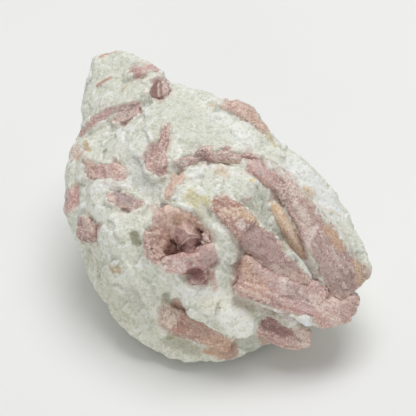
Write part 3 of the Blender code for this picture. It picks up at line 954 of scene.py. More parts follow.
    def dress(self, surface: Surface, materials: dict[str, bpy.types.Material]) -> bpy.types.Object:
        """Give the crystal its finish and its place in the scene."""
        finish = self.crystal.finish
        return surface.piece(materials[finish.name], finish.slot, self.crystal.node)


RIDGE = Crystal(
    "ridge_crystal", MAUVE, axis=((280, 190), (335, 285)),
    body=(201, 176, 168), light=(223, 201, 193), dark=(179, 153, 148),
    outline=(
        (246, 167), (250, 163), (257, 159), (264, 161), (268, 168), (275, 170), (279, 175), (286, 178),
        (292, 182), (299, 187), (300, 192), (304, 196), (309, 200), (313, 207), (316, 214), (322, 219),
        (330, 224), (336, 230), (341, 237), (342, 246), (348, 251), (353, 258), (360, 261), (367, 264),
        (372, 273), (374, 281), (370, 290), (361, 296), (356, 301), (340, 304), (328, 299), (322, 289),
        (327, 282), (322, 274), (315, 262), (311, 252), (308, 247), (304, 246), (300, 241), (297, 233),
        (291, 221), (284, 209), (277, 203), (271, 198), (269, 190), (262, 184), (257, 181), (250, 178),
        (246, 173),
    ),
    marks=(
        Mark(((246, 168), (256, 174), (268, 179)), 1.9, (221, 189, 183), cover=0.8, crumbs=0.15),
        Mark(((262, 160), (275, 172), (296, 185)), 0.5, (230, 211, 203), crumbs=0.6),
        Mark(((274, 192), (286, 200)), 1.2, (183, 156, 151), cover=0.6),
        # Painted shadow on the ridge's left flank.
        Mark(((282, 205), (292, 222), (302, 243)), 1.2, (172, 134, 128), cover=0.8, lift=-0.2, crumbs=0.2),
        Mark(((293, 188), (300, 208), (309, 232)), 1.3, (230, 214, 205), cover=0.55, lift=0.25, crumbs=0.9),
        Mark(((302, 201), (310, 207), (316, 220)), 0.9, (200, 172, 163), crumbs=0.2),
        Mark(((328, 230), (339, 245)), 1.4, (215, 182, 156), cover=0.85, crumbs=0.1),
        Mark(((322, 246), (330, 262), (342, 284)), 2.5, (197, 172, 166), cover=0.65, crumbs=0.25),
        Mark(((342, 270), (348, 276)), 1.0, (169, 144, 138), cover=0.75, crumbs=0.1),
        Mark(((338, 284), (350, 286)), 1.2, (176, 153, 146), crumbs=0.1),
        Mark(((330, 248), (337, 262), (345, 272)), 0.5, (226, 207, 200), cover=0.6, lift=0.15, crumbs=0.7),
        Mark(
            ((316, 228), (309, 240), (306, 254), (318, 272), (332, 292)),
            0.6, (233, 216, 208), cover=0.9, lift=0.15, crumbs=0.9,
        ),
        Mark(((358, 262), (364, 276), (364, 292)), 2.3, (210, 184, 146), cover=0.85, ragged=0.9),
        Mark(((332, 296), (346, 297), (360, 294)), 0.8, (202, 174, 158)),
    ),
    rough=0.28,
    growth=0.25,
    worn=12,
    crumbs=0.45,
)
BLADE = Crystal(
    "blade_crystal", MAUVE, axis=((225, 205), (305, 285)),
    body=(185, 147, 137), light=(208, 173, 162), dark=(162, 125, 117),
    outline=(
        (211, 201), (213, 197), (222, 195), (230, 199), (243, 203), (247, 207), (243, 211), (250, 214),
        (257, 221), (261, 229), (268, 231), (276, 233), (280, 241), (284, 249), (289, 257), (295, 262),
        (300, 269), (307, 278), (308, 284), (302, 287), (290, 284), (275, 278), (262, 272), (250, 261),
        (243, 253), (238, 245), (233, 237), (226, 229), (221, 221), (216, 217), (213, 208),
    ),
    marks=(
        Mark(((222, 202), (229, 206)), 1.1, (175, 145, 135), cover=0.8, lift=-0.25),
        Mark(((217, 216), (222, 221)), 0.7, (176, 147, 138)),
        Mark(((239, 203), (243, 206)), 0.7, (176, 147, 138)),
        Mark(((220, 200), (232, 208), (244, 214)), 2.6, (196, 152, 134), cover=0.6, crumbs=0.5, ragged=0.9),
        Mark(((226, 212), (236, 214)), 1.0, (236, 212, 184), cover=0.6, lift=0.2, crumbs=0.95, ragged=0.8),
        Mark(((240, 223), (242, 226)), 0.8, (243, 231, 221), cover=0.8, crumbs=0.95),
        Mark(((241, 211), (247, 217), (255, 222)), 0.8, (223, 195, 158)),
        Mark(((228, 228), (240, 238)), 1.5, (202, 169, 158), cover=0.6),
        Mark(((248, 228), (257, 238)), 1.3, (184, 160, 154), cover=0.6),
        Mark(((255, 239), (272, 251), (288, 264)), 2.5, (194, 169, 163), cover=0.8, crumbs=0.05),
        Mark(((262, 226), (275, 236), (290, 258)), 0.7, (214, 196, 186), cover=0.6, crumbs=0.6),
        Mark(((272, 232), (276, 238)), 0.6, (172, 150, 146)),
        # Painted shadow line under the blade's lower left edge.
        Mark(((240, 241), (250, 251), (266, 262), (277, 268)), 0.7, (176, 148, 141)),
        Mark(
            ((246, 256), (262, 268), (276, 276), (296, 284)),
            0.9, (200, 166, 158), cover=0.5, lift=0.6, soft=0.8,
        ),
        Mark(((274, 268), (290, 275), (306, 283)), 1.0, (221, 197, 186), cover=0.85, crumbs=0.15),
    ),
    rough=0.2,
    growth=0.25,
    worn=12,
    crumbs=0.3,
)
FAN = Crystal(
    "fan_crystal", ROSE, axis=((240, 276), (345, 312)),
    body=(208, 172, 164), light=(225, 197, 188), dark=(186, 151, 144),
    outline=(
        (236, 262), (240, 256), (244, 250), (255, 252), (265, 258), (275, 262), (292, 270), (305, 277),
        (318, 282), (328, 286), (340, 292), (356, 297), (359, 304), (358, 312), (352, 321), (343, 328),
        (333, 330), (322, 329), (316, 324), (312, 318), (300, 316), (290, 313), (282, 309), (274, 307),
        (262, 304), (250, 301), (240, 296), (233, 290), (230, 283), (233, 277), (234, 268),
    ),
    marks=(
        Mark(((243, 256), (252, 268), (258, 282)), 2.4, (226, 186, 158), cover=0.6, crumbs=0.6, ragged=0.9),
        Mark(
            ((248, 260), (262, 270), (276, 278), (294, 286)),
            0.9, (198, 164, 156), cover=0.5, lift=0.7, soft=0.8,
        ),
        Mark(((236, 264), (238, 276)), 1.3, (184, 155, 148)),
        Mark(((234, 284), (241, 291)), 0.8, (190, 160, 154), cover=0.6),
        Mark(((262, 268), (276, 280), (288, 296)), 2.2, (229, 201, 196), cover=0.6, crumbs=0.4),
        Mark(((282, 278), (284, 290)), 0.9, (241, 226, 220), crumbs=0.95),
        Mark(((234, 287), (250, 292), (268, 301)), 0.35, (234, 212, 197), lift=0.25, ragged=0.2),
        Mark(((238, 280), (256, 287), (276, 296)), 0.3, (238, 216, 203), cover=0.6, lift=0.2, ragged=0.2),
        Mark(((248, 297), (262, 303), (280, 306)), 0.35, (178, 149, 144), lift=-0.2, ragged=0.2),
        Mark(((292, 284), (300, 296), (309, 305)), 1.8, (214, 189, 186), cover=0.6, crumbs=0.2),
        Mark(((300, 290), (304, 298)), 0.5, (238, 224, 218), crumbs=0.8),
        Mark(((318, 296), (333, 311), (340, 318)), 2.3, (228, 211, 203), cover=0.45, crumbs=1.0),
        Mark(((346, 305), (350, 316)), 2.0, (216, 189, 180), cover=0.8, crumbs=0.08),
        Mark(
            ((331, 296), (341, 300), (350, 298)),
            0.9, (222, 196, 188), cover=0.5, crumbs=0.5, lift=0.9, soft=0.8,
        ),
        Mark(((318, 290), (324, 293)), 1.2, (214, 182, 180), cover=0.5, crumbs=0.4, lift=-0.35, soft=1.2),
        Mark(((309, 283), (317, 284)), 0.9, (216, 184, 180), cover=0.4, lift=0.7, soft=0.8),
        Mark(((298, 283), (306, 286)), 0.7, (216, 184, 180), cover=0.4, lift=0.5, soft=0.7),
        Mark(((270, 308), (290, 315), (312, 321)), 0.5, (203, 172, 165), cover=0.6),
    ),
    streak=0.2,
    growth=0.25,
    worn=14,
    streak_size=0.7,
)
KNOB = Crystal(
    "knob_crystal", ROSE, axis=((262, 325), (303, 343)),
    body=(206, 173, 164), light=(230, 205, 194), dark=(180, 150, 144),
    outline=(
        (257, 329), (261, 320), (268, 315), (275, 317), (279, 323), (285, 327), (293, 330), (300, 329),
        (309, 330), (314, 340), (311, 349), (297, 354), (282, 353), (270, 349), (262, 343), (256, 335),
    ),
    marks=(
        # Painted shade in the knob's recessed left end.
        Mark(((264, 322), (274, 324), (284, 331)), 1.5, (172, 140, 136), cover=0.75, crumbs=0.2, ragged=0.9),
        Mark(((299, 330), (305, 342)), 1.4, (240, 224, 212), cover=0.8, crumbs=0.8, ragged=0.8),
        Mark(((274, 345), (295, 348)), 0.6, (216, 189, 176), crumbs=0.2),
        Mark(((272, 336),), 0.22, (127, 117, 110), cover=0.9, ragged=0.05, soft=0.15),
    ),
)
BASE = Crystal(
    "base_crystal", PEACH, axis=((170, 318), (232, 345)),
    body=(196, 156, 142), light=(212, 180, 166), dark=(173, 138, 128),
    outline=(
        (157, 306), (163, 303), (170, 304), (173, 298), (178, 299), (184, 304), (190, 309), (200, 317),
        (208, 324), (216, 331), (226, 339), (237, 343), (239, 347), (237, 354), (230, 358), (222, 357),
        (216, 352), (209, 349), (201, 342), (190, 342), (180, 338), (172, 333), (164, 331), (157, 325),
        (158, 315),
    ),
    marks=(
        Mark(
            ((160, 311), (168, 318), (176, 304)),
            2.2, (216, 194, 186), cover=0.6, crumbs=1.0, ragged=0.9, lift=-0.2,
        ),
        Mark(((161, 308), (166, 321)), 1.4, (240, 230, 220), cover=0.55, crumbs=1.0, ragged=1.3),
        Mark(((158, 322), (164, 328)), 0.8, (232, 220, 206), crumbs=1.0, ragged=0.8),
        Mark(((170, 300), (174, 304)), 0.8, (232, 216, 208), crumbs=1.0, ragged=0.8),
        Mark(((163, 308), (169, 313)), 0.7, (177, 156, 149), cover=0.75),
        Mark(((160, 320), (168, 326)), 0.7, (228, 211, 196), crumbs=0.9),
        Mark(((188, 316), (202, 326), (216, 338)), 1.7, (201, 174, 162), cover=0.75, crumbs=0.04),
        Mark(((212, 343), (232, 349)), 1.8, (220, 184, 156), cover=0.6, crumbs=0.3, ragged=0.8),
        Mark(((176, 334), (192, 339)), 0.7, (187, 166, 157), cover=0.6),
    ),
    rough=0.14,
    chip=0.1,
)
GROOVE = Crystal(
    "groove_crystal", MAUVE, axis=((185, 160), (255, 160)),
    body=(203, 174, 169), light=(230, 206, 200), dark=(174, 147, 144),
    outline=(
        (174, 168), (177, 162), (179, 157), (184, 156), (191, 157), (193, 151), (197, 148), (207, 149),
        (209, 152), (214, 153), (219, 151), (222, 148), (226, 146), (231, 147), (232, 151), (238, 153),
        (244, 152), (250, 152), (256, 155), (262, 159), (268, 166), (262, 172), (252, 168), (246, 162),
        (239, 163), (236, 160), (233, 160), (227, 163), (223, 166), (217, 164), (212, 165), (208, 166),
        (205, 163), (200, 163), (194, 165), (190, 167), (184, 168), (181, 171),
    ),
    marks=(
        Mark(((178, 163), (181, 169)), 0.9, (172, 161, 156), cover=0.75),
        Mark(((186, 162), (192, 166)), 0.8, (213, 202, 194), crumbs=0.6),
        Mark(((196, 151), (204, 158)), 1.3, (156, 136, 133), cover=0.85, lift=-0.3),
        Mark(((208, 157), (213, 160)), 0.8, (198, 156, 158), cover=0.75),
        Mark(((218, 155), (231, 159)), 1.5, (214, 187, 181), cover=0.6, crumbs=0.9),
        Mark(((236, 158), (241, 162)), 0.9, (233, 219, 211), crumbs=0.8),
        Mark(((244, 155), (252, 158)), 0.9, (175, 149, 143), cover=0.65),
    ),
    rough=0.26,
    chip=0.16,
    crumbs=0.45,
)
NEEDLE = Crystal(
    "needle_crystal", PEACH, axis=((275, 207), (300, 250)),
    body=(234, 212, 188), light=(246, 234, 216), dark=(212, 188, 164),
    outline=(
        (270, 201), (274, 201), (280, 208), (287, 216), (293, 227), (298, 237), (303, 246), (308, 252),
        (307, 261), (300, 259), (295, 251), (290, 241), (284, 230), (278, 219), (273, 210),
    ),
    marks=(
        Mark(((271, 200), (276, 206)), 0.9, (230, 198, 158), cover=0.8, lift=-0.6, soft=1.3, ragged=0.1),
        Mark(((273, 205), (278, 217), (286, 233)), 0.3, (234, 196, 150), cover=0.8, ragged=0.15),
        Mark(((286, 233), (298, 259)), 0.35, (204, 175, 156), cover=0.8, ragged=0.15),
    ),
    growth=0.7,
    rough=0.06,
    chip=0.05,
    crumbs=0.5,
)
CRUST = Crystal(
    "pocket_crust", MAUVE, axis=((150, 230), (200, 250)),
    body=(216, 181, 170), light=(234, 207, 193), dark=(190, 155, 146),
    outline=(
        (153, 206), (160, 204), (168, 203), (172, 207), (185, 210), (193, 213), (199, 217), (203, 226),
        (210, 229), (214, 238), (214, 246), (210, 252), (205, 262), (190, 266), (170, 272), (165, 266),
        (155, 265), (146, 261), (140, 255), (137, 247), (139, 237), (145, 229), (152, 225), (155, 218),
        (153, 211),
    ),
    marks=(
        # Peach upper wall, painted lighter as painted light against the rim's shade.
        Mark(
            ((158, 214), (172, 213), (186, 219)),
            3.2, (246, 212, 192), cover=0.8, crumbs=1.0, ragged=0.9, lift=0.4,
        ),
        Mark(((154, 210), (157, 219)), 1.2, (232, 196, 192), cover=0.8, crumbs=0.6),
        Mark(((178, 217), (190, 224), (198, 222)), 1.6, (222, 184, 158), ragged=0.8, crumbs=0.5),
        Mark(((184, 236), (196, 241), (202, 236)), 2.0, (206, 168, 162), crumbs=0.15),
        Mark(((192, 225), (203, 236)), 1.0, (190, 154, 147), cover=0.75),
        Mark(((145, 240), (150, 252), (160, 259)), 2.4, (196, 162, 155), crumbs=0.8),
        Mark(((144, 234), (152, 228)), 1.2, (228, 206, 194), crumbs=0.9),
        # Brown patch, partly painted shade where the bowl's shadow falls, raised to make the hole shallower.
        Mark(((158, 233), (167, 246)), 2.0, (204, 166, 150), cover=0.8, crumbs=0.2, lift=1.2, soft=1.0),
        # Painted light over deep, occluded places of the pocket, which are also raised.
        Mark(((170, 246), (184, 250)), 2.0, (226, 186, 178), cover=0.9, crumbs=0.05, lift=1.9, soft=1.2),
        Mark(((190, 228), (198, 238)), 2.0, (222, 188, 180), cover=0.8, crumbs=0.3, lift=2.0, soft=1.3),
        Mark(((187, 239), (196, 243)), 2.8, (208, 174, 168), cover=0.85, crumbs=0.1, lift=1.8, soft=1.4),
        # Painted shade along a cleft line.
        Mark(((195, 232), (202, 239), (207, 242)), 0.35, (160, 126, 122), cover=0.9, ragged=0.15),
        Mark(((208, 230), (213, 238), (211, 247)), 1.1, (230, 202, 190), cover=0.8, crumbs=0.6),
    ),
    rough=0.42,
    rough_size=1.5,
    chip=0.3,
    crumbs=0.5,
    worn=12,
)
POCKET = Crystal(
    "pocket_crystals", ROSE, axis=((170, 266), (215, 256)),
    body=(206, 169, 164), light=(224, 199, 193), dark=(182, 148, 143),
    outline=(
        (165, 262), (170, 254), (178, 248), (185, 246), (200, 244), (210, 246), (214, 250), (218, 256),
        (220, 263), (215, 269), (208, 268), (206, 272), (208, 280), (208, 286), (202, 286), (194, 282),
        (189, 277), (183, 276), (178, 273), (171, 275), (166, 271),
    ),
    marks=(
        Mark(((176, 264), (181, 267)), 1.0, (238, 221, 215), cover=0.8, crumbs=0.7),
        Mark(((169, 268), (176, 272)), 1.0, (229, 198, 191), cover=0.6),
        Mark(((206, 256), (214, 262)), 1.6, (197, 171, 166), cover=0.8, crumbs=0.08),
        Mark(((193, 262), (197, 266)), 0.6, (215, 165, 169), cover=0.75),
        Mark(((203, 268),), 0.6, (211, 160, 165), cover=0.75),
        Mark(
            ((193, 275), (200, 279)),
            1.7, (140, 98, 94), cover=1.0, crumbs=0.0, lift=-0.2, soft=0.3, ragged=0.2,
        ),
    ),
    rough=0.22,
)
SEAM = Crystal(
    "seam_crystal", MAUVE, axis=((85, 130), (138, 106)),
    body=(220, 188, 185), light=(242, 214, 208), dark=(191, 164, 161),
    outline=(
        (77, 137), (80, 131), (86, 126), (91, 120), (92, 117), (98, 113), (104, 109), (110, 106),
        (118, 107), (124, 104), (134, 102), (140, 101), (142, 105), (142, 112), (137, 116), (131, 118),
        (126, 123), (123, 127), (118, 123), (114, 121), (119, 117), (124, 113), (130, 111), (125, 110),
        (118, 112), (112, 115), (106, 119), (98, 122), (92, 127), (87, 132), (82, 136),
    ),
    marks=(
        Mark(((79, 135), (90, 128)), 1.1, (202, 168, 165), cover=0.8),
        Mark(((104, 112), (113, 108)), 0.6, (211, 181, 176)),
        Mark(((116, 112), (128, 108)), 0.8, (184, 160, 157)),
        Mark(((134, 103), (139, 107)), 0.9, (163, 142, 141), cover=0.85),
        Mark(((116, 121), (126, 116), (138, 111)), 1.2, (219, 196, 190), cover=0.8, crumbs=1.0),
    ),
    rough=0.18,
    chip=0.1,
)
EYE = Crystal(
    "eye_crystal", MAUVE, axis=((155, 80), (163, 98)),
    body=(180, 153, 148), light=(201, 179, 172), dark=(159, 133, 128),
    outline=(
        (149, 85), (151, 79), (156, 75), (163, 75), (168, 79), (171, 87), (170, 94), (165, 99), (160, 102),
        (155, 100), (151, 98), (149, 92),
    ),
    marks=(
        Mark(((158, 77), (163, 79)), 1.0, (216, 188, 181)),
        Mark(((162, 84), (164, 93)), 1.1, (216, 196, 188), cover=0.6, crumbs=0.8),
        Mark(((155, 84), (156, 96)), 1.5, (146, 112, 103), cover=0.9, crumbs=0.0, lift=-0.2, ragged=0.25),
        Mark(((158.5, 84), (158.5, 96)), 0.2, (221, 204, 195), cover=0.9, ragged=0.05, soft=0.2),
    ),
    rough=0.1,
    chip=0.08,
)
CROWN = Crystal(
    "crown_crystal", ROSE, axis=((130, 70), (158, 68)),
    body=(217, 188, 183), light=(233, 213, 206), dark=(198, 168, 163),
    outline=(
        (127, 69), (133, 65), (140, 66), (147, 65), (152, 63), (158, 65), (162, 70), (157, 71), (150, 70),
        (146, 73), (142, 75), (140, 80), (136, 80), (132, 78), (134, 73), (128, 71),
    ),
    marks=(
        Mark(((136, 72), (138, 79)), 1.0, (204, 168, 163), cover=0.8),
        Mark(((148, 67), (158, 69)), 0.8, (215, 179, 178)),
    ),
    rough=0.26,
)
DROP = Crystal(
    "drop_crystal", ROSE, axis=((166, 130), (156, 172)),
    body=(199, 169, 162), light=(213, 189, 181), dark=(180, 151, 145),
    outline=(
        (141, 157), (144, 149), (148, 144), (155, 141), (158, 137), (157, 132), (160, 128), (165, 123),
        (169, 119), (172, 123), (170, 129), (170, 135), (169, 142), (168, 150), (168, 160), (169, 166),
        (167, 172), (163, 176), (160, 179), (157, 175), (151, 172), (146, 166), (143, 161),
    ),
    marks=(
        Mark(((163, 130), (166, 137)), 0.9, (200, 169, 163)),
        Mark(((160, 170), (166, 172)), 1.0, (174, 141, 138), cover=0.8),
        Mark(((168, 146), (169, 162)), 0.4, (193, 163, 157)),
    ),
    rough=0.14,
    chip=0.12,
    crumbs=0.5,
)
BACK = Crystal(
    "back_crystal", PEACH, axis=((228, 105), (266, 134)),
    body=(220, 194, 182), light=(239, 221, 208), dark=(202, 177, 168),
    outline=(
        (224, 104), (226, 99), (232, 96), (240, 98), (250, 104), (256, 111), (258, 117), (263, 118),
        (267, 124), (269, 131), (262, 133), (257, 127), (252, 123), (246, 120), (240, 116), (233, 113),
        (227, 110),
    ),
    marks=(
        Mark(((226, 104), (240, 109)), 1.2, (217, 183, 176), crumbs=0.5),
        Mark(((250, 118), (262, 130)), 1.2, (205, 174, 159)),
    ),
    rough=0.32,
    chip=0.2,
)
CHEEK = Crystal(
    "cheek_crystal", ROSE, axis=((85, 165), (125, 175)),
    body=(211, 179, 171), light=(233, 208, 199), dark=(186, 158, 153),
    outline=(
        (81, 160), (86, 162), (90, 161), (97, 164), (104, 164), (109, 161), (116, 158), (121, 163),
        (125, 169), (124, 172), (128, 176), (129, 178), (124, 181), (116, 181), (110, 178), (103, 179),
        (97, 180), (93, 183), (90, 180), (86, 177), (83, 172), (84, 167),
    ),
    marks=(
        Mark(((117, 163), (122, 166)), 0.9, (176, 149, 143), cover=0.8),
        Mark(((113, 174), (125, 177)), 0.9, (224, 197, 188), crumbs=0.7),
        Mark(((92, 178), (94, 181)), 0.6, (187, 151, 148)),
    ),
    rough=0.26,
    crumbs=0.55,
)
OVAL = Crystal(
    "oval_crystal", ROSE, axis=((110, 196), (142, 205)),
    body=(188, 162, 157), light=(212, 186, 176), dark=(170, 145, 144),
    outline=(
        (107, 195), (109, 192), (114, 190), (120, 190), (127, 192), (133, 196), (138, 199), (144, 201),
        (144, 204), (139, 208), (131, 210), (128, 213), (121, 212), (118, 208), (113, 203), (108, 200),
    ),
    marks=(
        Mark(((119, 197), (129, 201)), 1.2, (183, 164, 163), cover=0.75),
        Mark(((109, 196), (114, 201)), 0.7, (224, 194, 180), crumbs=0.7),
        Mark(((121, 210), (129, 211)), 0.6, (219, 186, 175)),
    ),
    rough=0.18,
    crumbs=0.45,
)
LEFT = Crystal(
    "left_crystal", ROSE, axis=((74, 188), (70, 210)),
    body=(225, 192, 187), light=(245, 215, 207), dark=(196, 165, 161),
    outline=(
        (66, 190), (73, 186), (78, 186), (79, 192), (79, 200), (80, 206), (75, 208), (68, 213), (63, 212),
        (63, 202),
    ),
    marks=(Mark(((74, 201), (76, 204)), 0.8, (202, 156, 159), cover=0.8),),
)
BLOCK = Crystal(
    "block_crystal", MAUVE, axis=((80, 222), (98, 240)),
    body=(190, 158, 152), light=(213, 183, 176), dark=(161, 131, 128),
    outline=(
        (76, 222), (80, 216), (86, 214), (93, 216), (95, 221), (100, 223), (104, 226), (101, 231),
        (99, 238), (95, 244), (88, 245), (81, 245), (77, 240), (75, 232),
    ),
    marks=(
        Mark(((86, 221), (90, 229)), 1.1, (229, 209, 198), crumbs=0.95),
        Mark(((81, 241), (95, 243)), 0.9, (169, 145, 141), cover=0.8),
        Mark(((98, 225), (98, 237)), 0.8, (177, 156, 153)),
    ),
    crumbs=0.5,
)
PEACH_EDGE = Crystal(
    "peach_crystal", PEACH, axis=((168, 192), (184, 175)),
    body=(227, 199, 182), light=(238, 219, 203), dark=(210, 177, 160),
    outline=(
        (167, 183), (170, 176), (176, 172), (183, 173), (186, 178), (184, 182), (178, 183), (174, 188),
        (172, 194), (169, 199), (164, 196), (164, 190),
    ),
    marks=(Mark(((174, 176), (183, 176)), 0.8, (237, 207, 189)),),
    rough=0.2,
)
CRYSTALS: tuple[Crystal, ...] = (
    RIDGE, BLADE, FAN, KNOB, BASE, GROOVE, NEEDLE, CRUST, POCKET, SEAM,
    EYE, CROWN, DROP, BACK, CHEEK, OVAL, LEFT, BLOCK, PEACH_EDGE,
)

# The rock's broad tints, some painted light and shade, and raised or sunken places.
ROCK_FORMS: tuple[Mark, ...] = (
    # Greenish tint on the lower left, partly painted shade where it faces down.
    Mark(((100, 268), (108, 294), (122, 316)), 3.2, (206, 204, 182), cover=0.35, soft=2.0, ragged=0.8),
    Mark(((132, 290), (140, 310), (147, 326)), 1.6, (212, 212, 200), cover=0.5, soft=1.2),
    Mark(((134, 164), (141, 177), (150, 191)), 2.2, (212, 214, 208), cover=0.6, soft=1.5),
    Mark(
        ((186, 190), (200, 177), (226, 171), (250, 182)), 2.0, (246, 246, 240), cover=0.3, lift=0.3, soft=1.0
    ),
    # Painted light on the lobe under the pit where it faces up, with a raised cushion.
    Mark(
        ((194, 291), (214, 299), (234, 317), (244, 331)),
        2.6, (252, 252, 244), cover=0.9, lift=0.8, crumbs=0.2, soft=1.5,
    ),
    Mark(((204, 303), (221, 302)), 1.5, (242, 240, 220), cover=0.6, soft=1.2),
    # Painted light under the cheek crystal, against the shade of its downward slope.
    Mark(((96, 187), (110, 187), (124, 188)), 1.5, (254, 254, 250), cover=0.9, lift=0.9, soft=1.2),
    Mark(((214, 118), (230, 130), (246, 140)), 2.4, (248, 250, 246), soft=1.5),
    # Painted highlight along the ledge's edge under the groove crystal.
    Mark(((188, 171), (205, 168), (224, 169)), 0.7, (252, 252, 249), cover=0.8, lift=0.5, bare=-0.6),
    Mark(((236, 159), (250, 160), (262, 166)), 1.1, (200, 170, 163), cover=0.8, crumbs=0.8, bare=0.8),
    Mark(((296, 168), (310, 180), (324, 196), (334, 210)), 2.6, (248, 250, 249), cover=0.8, soft=1.5),
    # Painted shade over the broad upper slope, dimming the light it catches.
    Mark(((178, 108), (195, 122), (212, 134)), 4.5, (219, 222, 208), cover=0.6, soft=3.0),
    Mark(((112, 62), (122, 78), (130, 95)), 3.5, (222, 224, 210), cover=0.5, soft=2.0),
    Mark(((340, 226), (352, 248)), 1.5, (212, 213, 200), cover=0.6, soft=1.2),
    Mark(((253, 203), (262, 214)), 1.5, (206, 206, 190), soft=1.0),
    Mark(((178, 291), (190, 289)), 1.5, (250, 250, 244), lift=0.2, soft=0.8),
    Mark(((222, 236), (231, 246), (237, 256)), 1.8, (238, 238, 228), cover=0.5, lift=0.4, soft=0.9),
    Mark(((221, 266), (232, 270)), 1.1, (192, 192, 182), cover=0.6),
    # Painted shadow under the fan crystal.
    Mark(((236, 300), (250, 306), (263, 308)), 1.2, (196, 190, 172), lift=0.2, soft=0.8),
    # Painted shade in a small hollow left of the lobe.
    Mark(((166, 296), (167, 302)), 0.9, (176, 172, 154), cover=0.8, lift=-0.6, soft=0.8),
    Mark(((244, 340), (257, 345)), 1.8, (196, 200, 188), lift=0.3),
    Mark(((168, 340), (182, 345), (198, 350)), 1.2, (186, 184, 162), cover=0.6),
    Mark(((184, 84), (196, 90), (208, 97)), 3.0, lift=-0.7, soft=2.0),
    Mark(((112, 129), (124, 126)), 0.9, (196, 198, 184), cover=0.6, lift=-0.3),
)

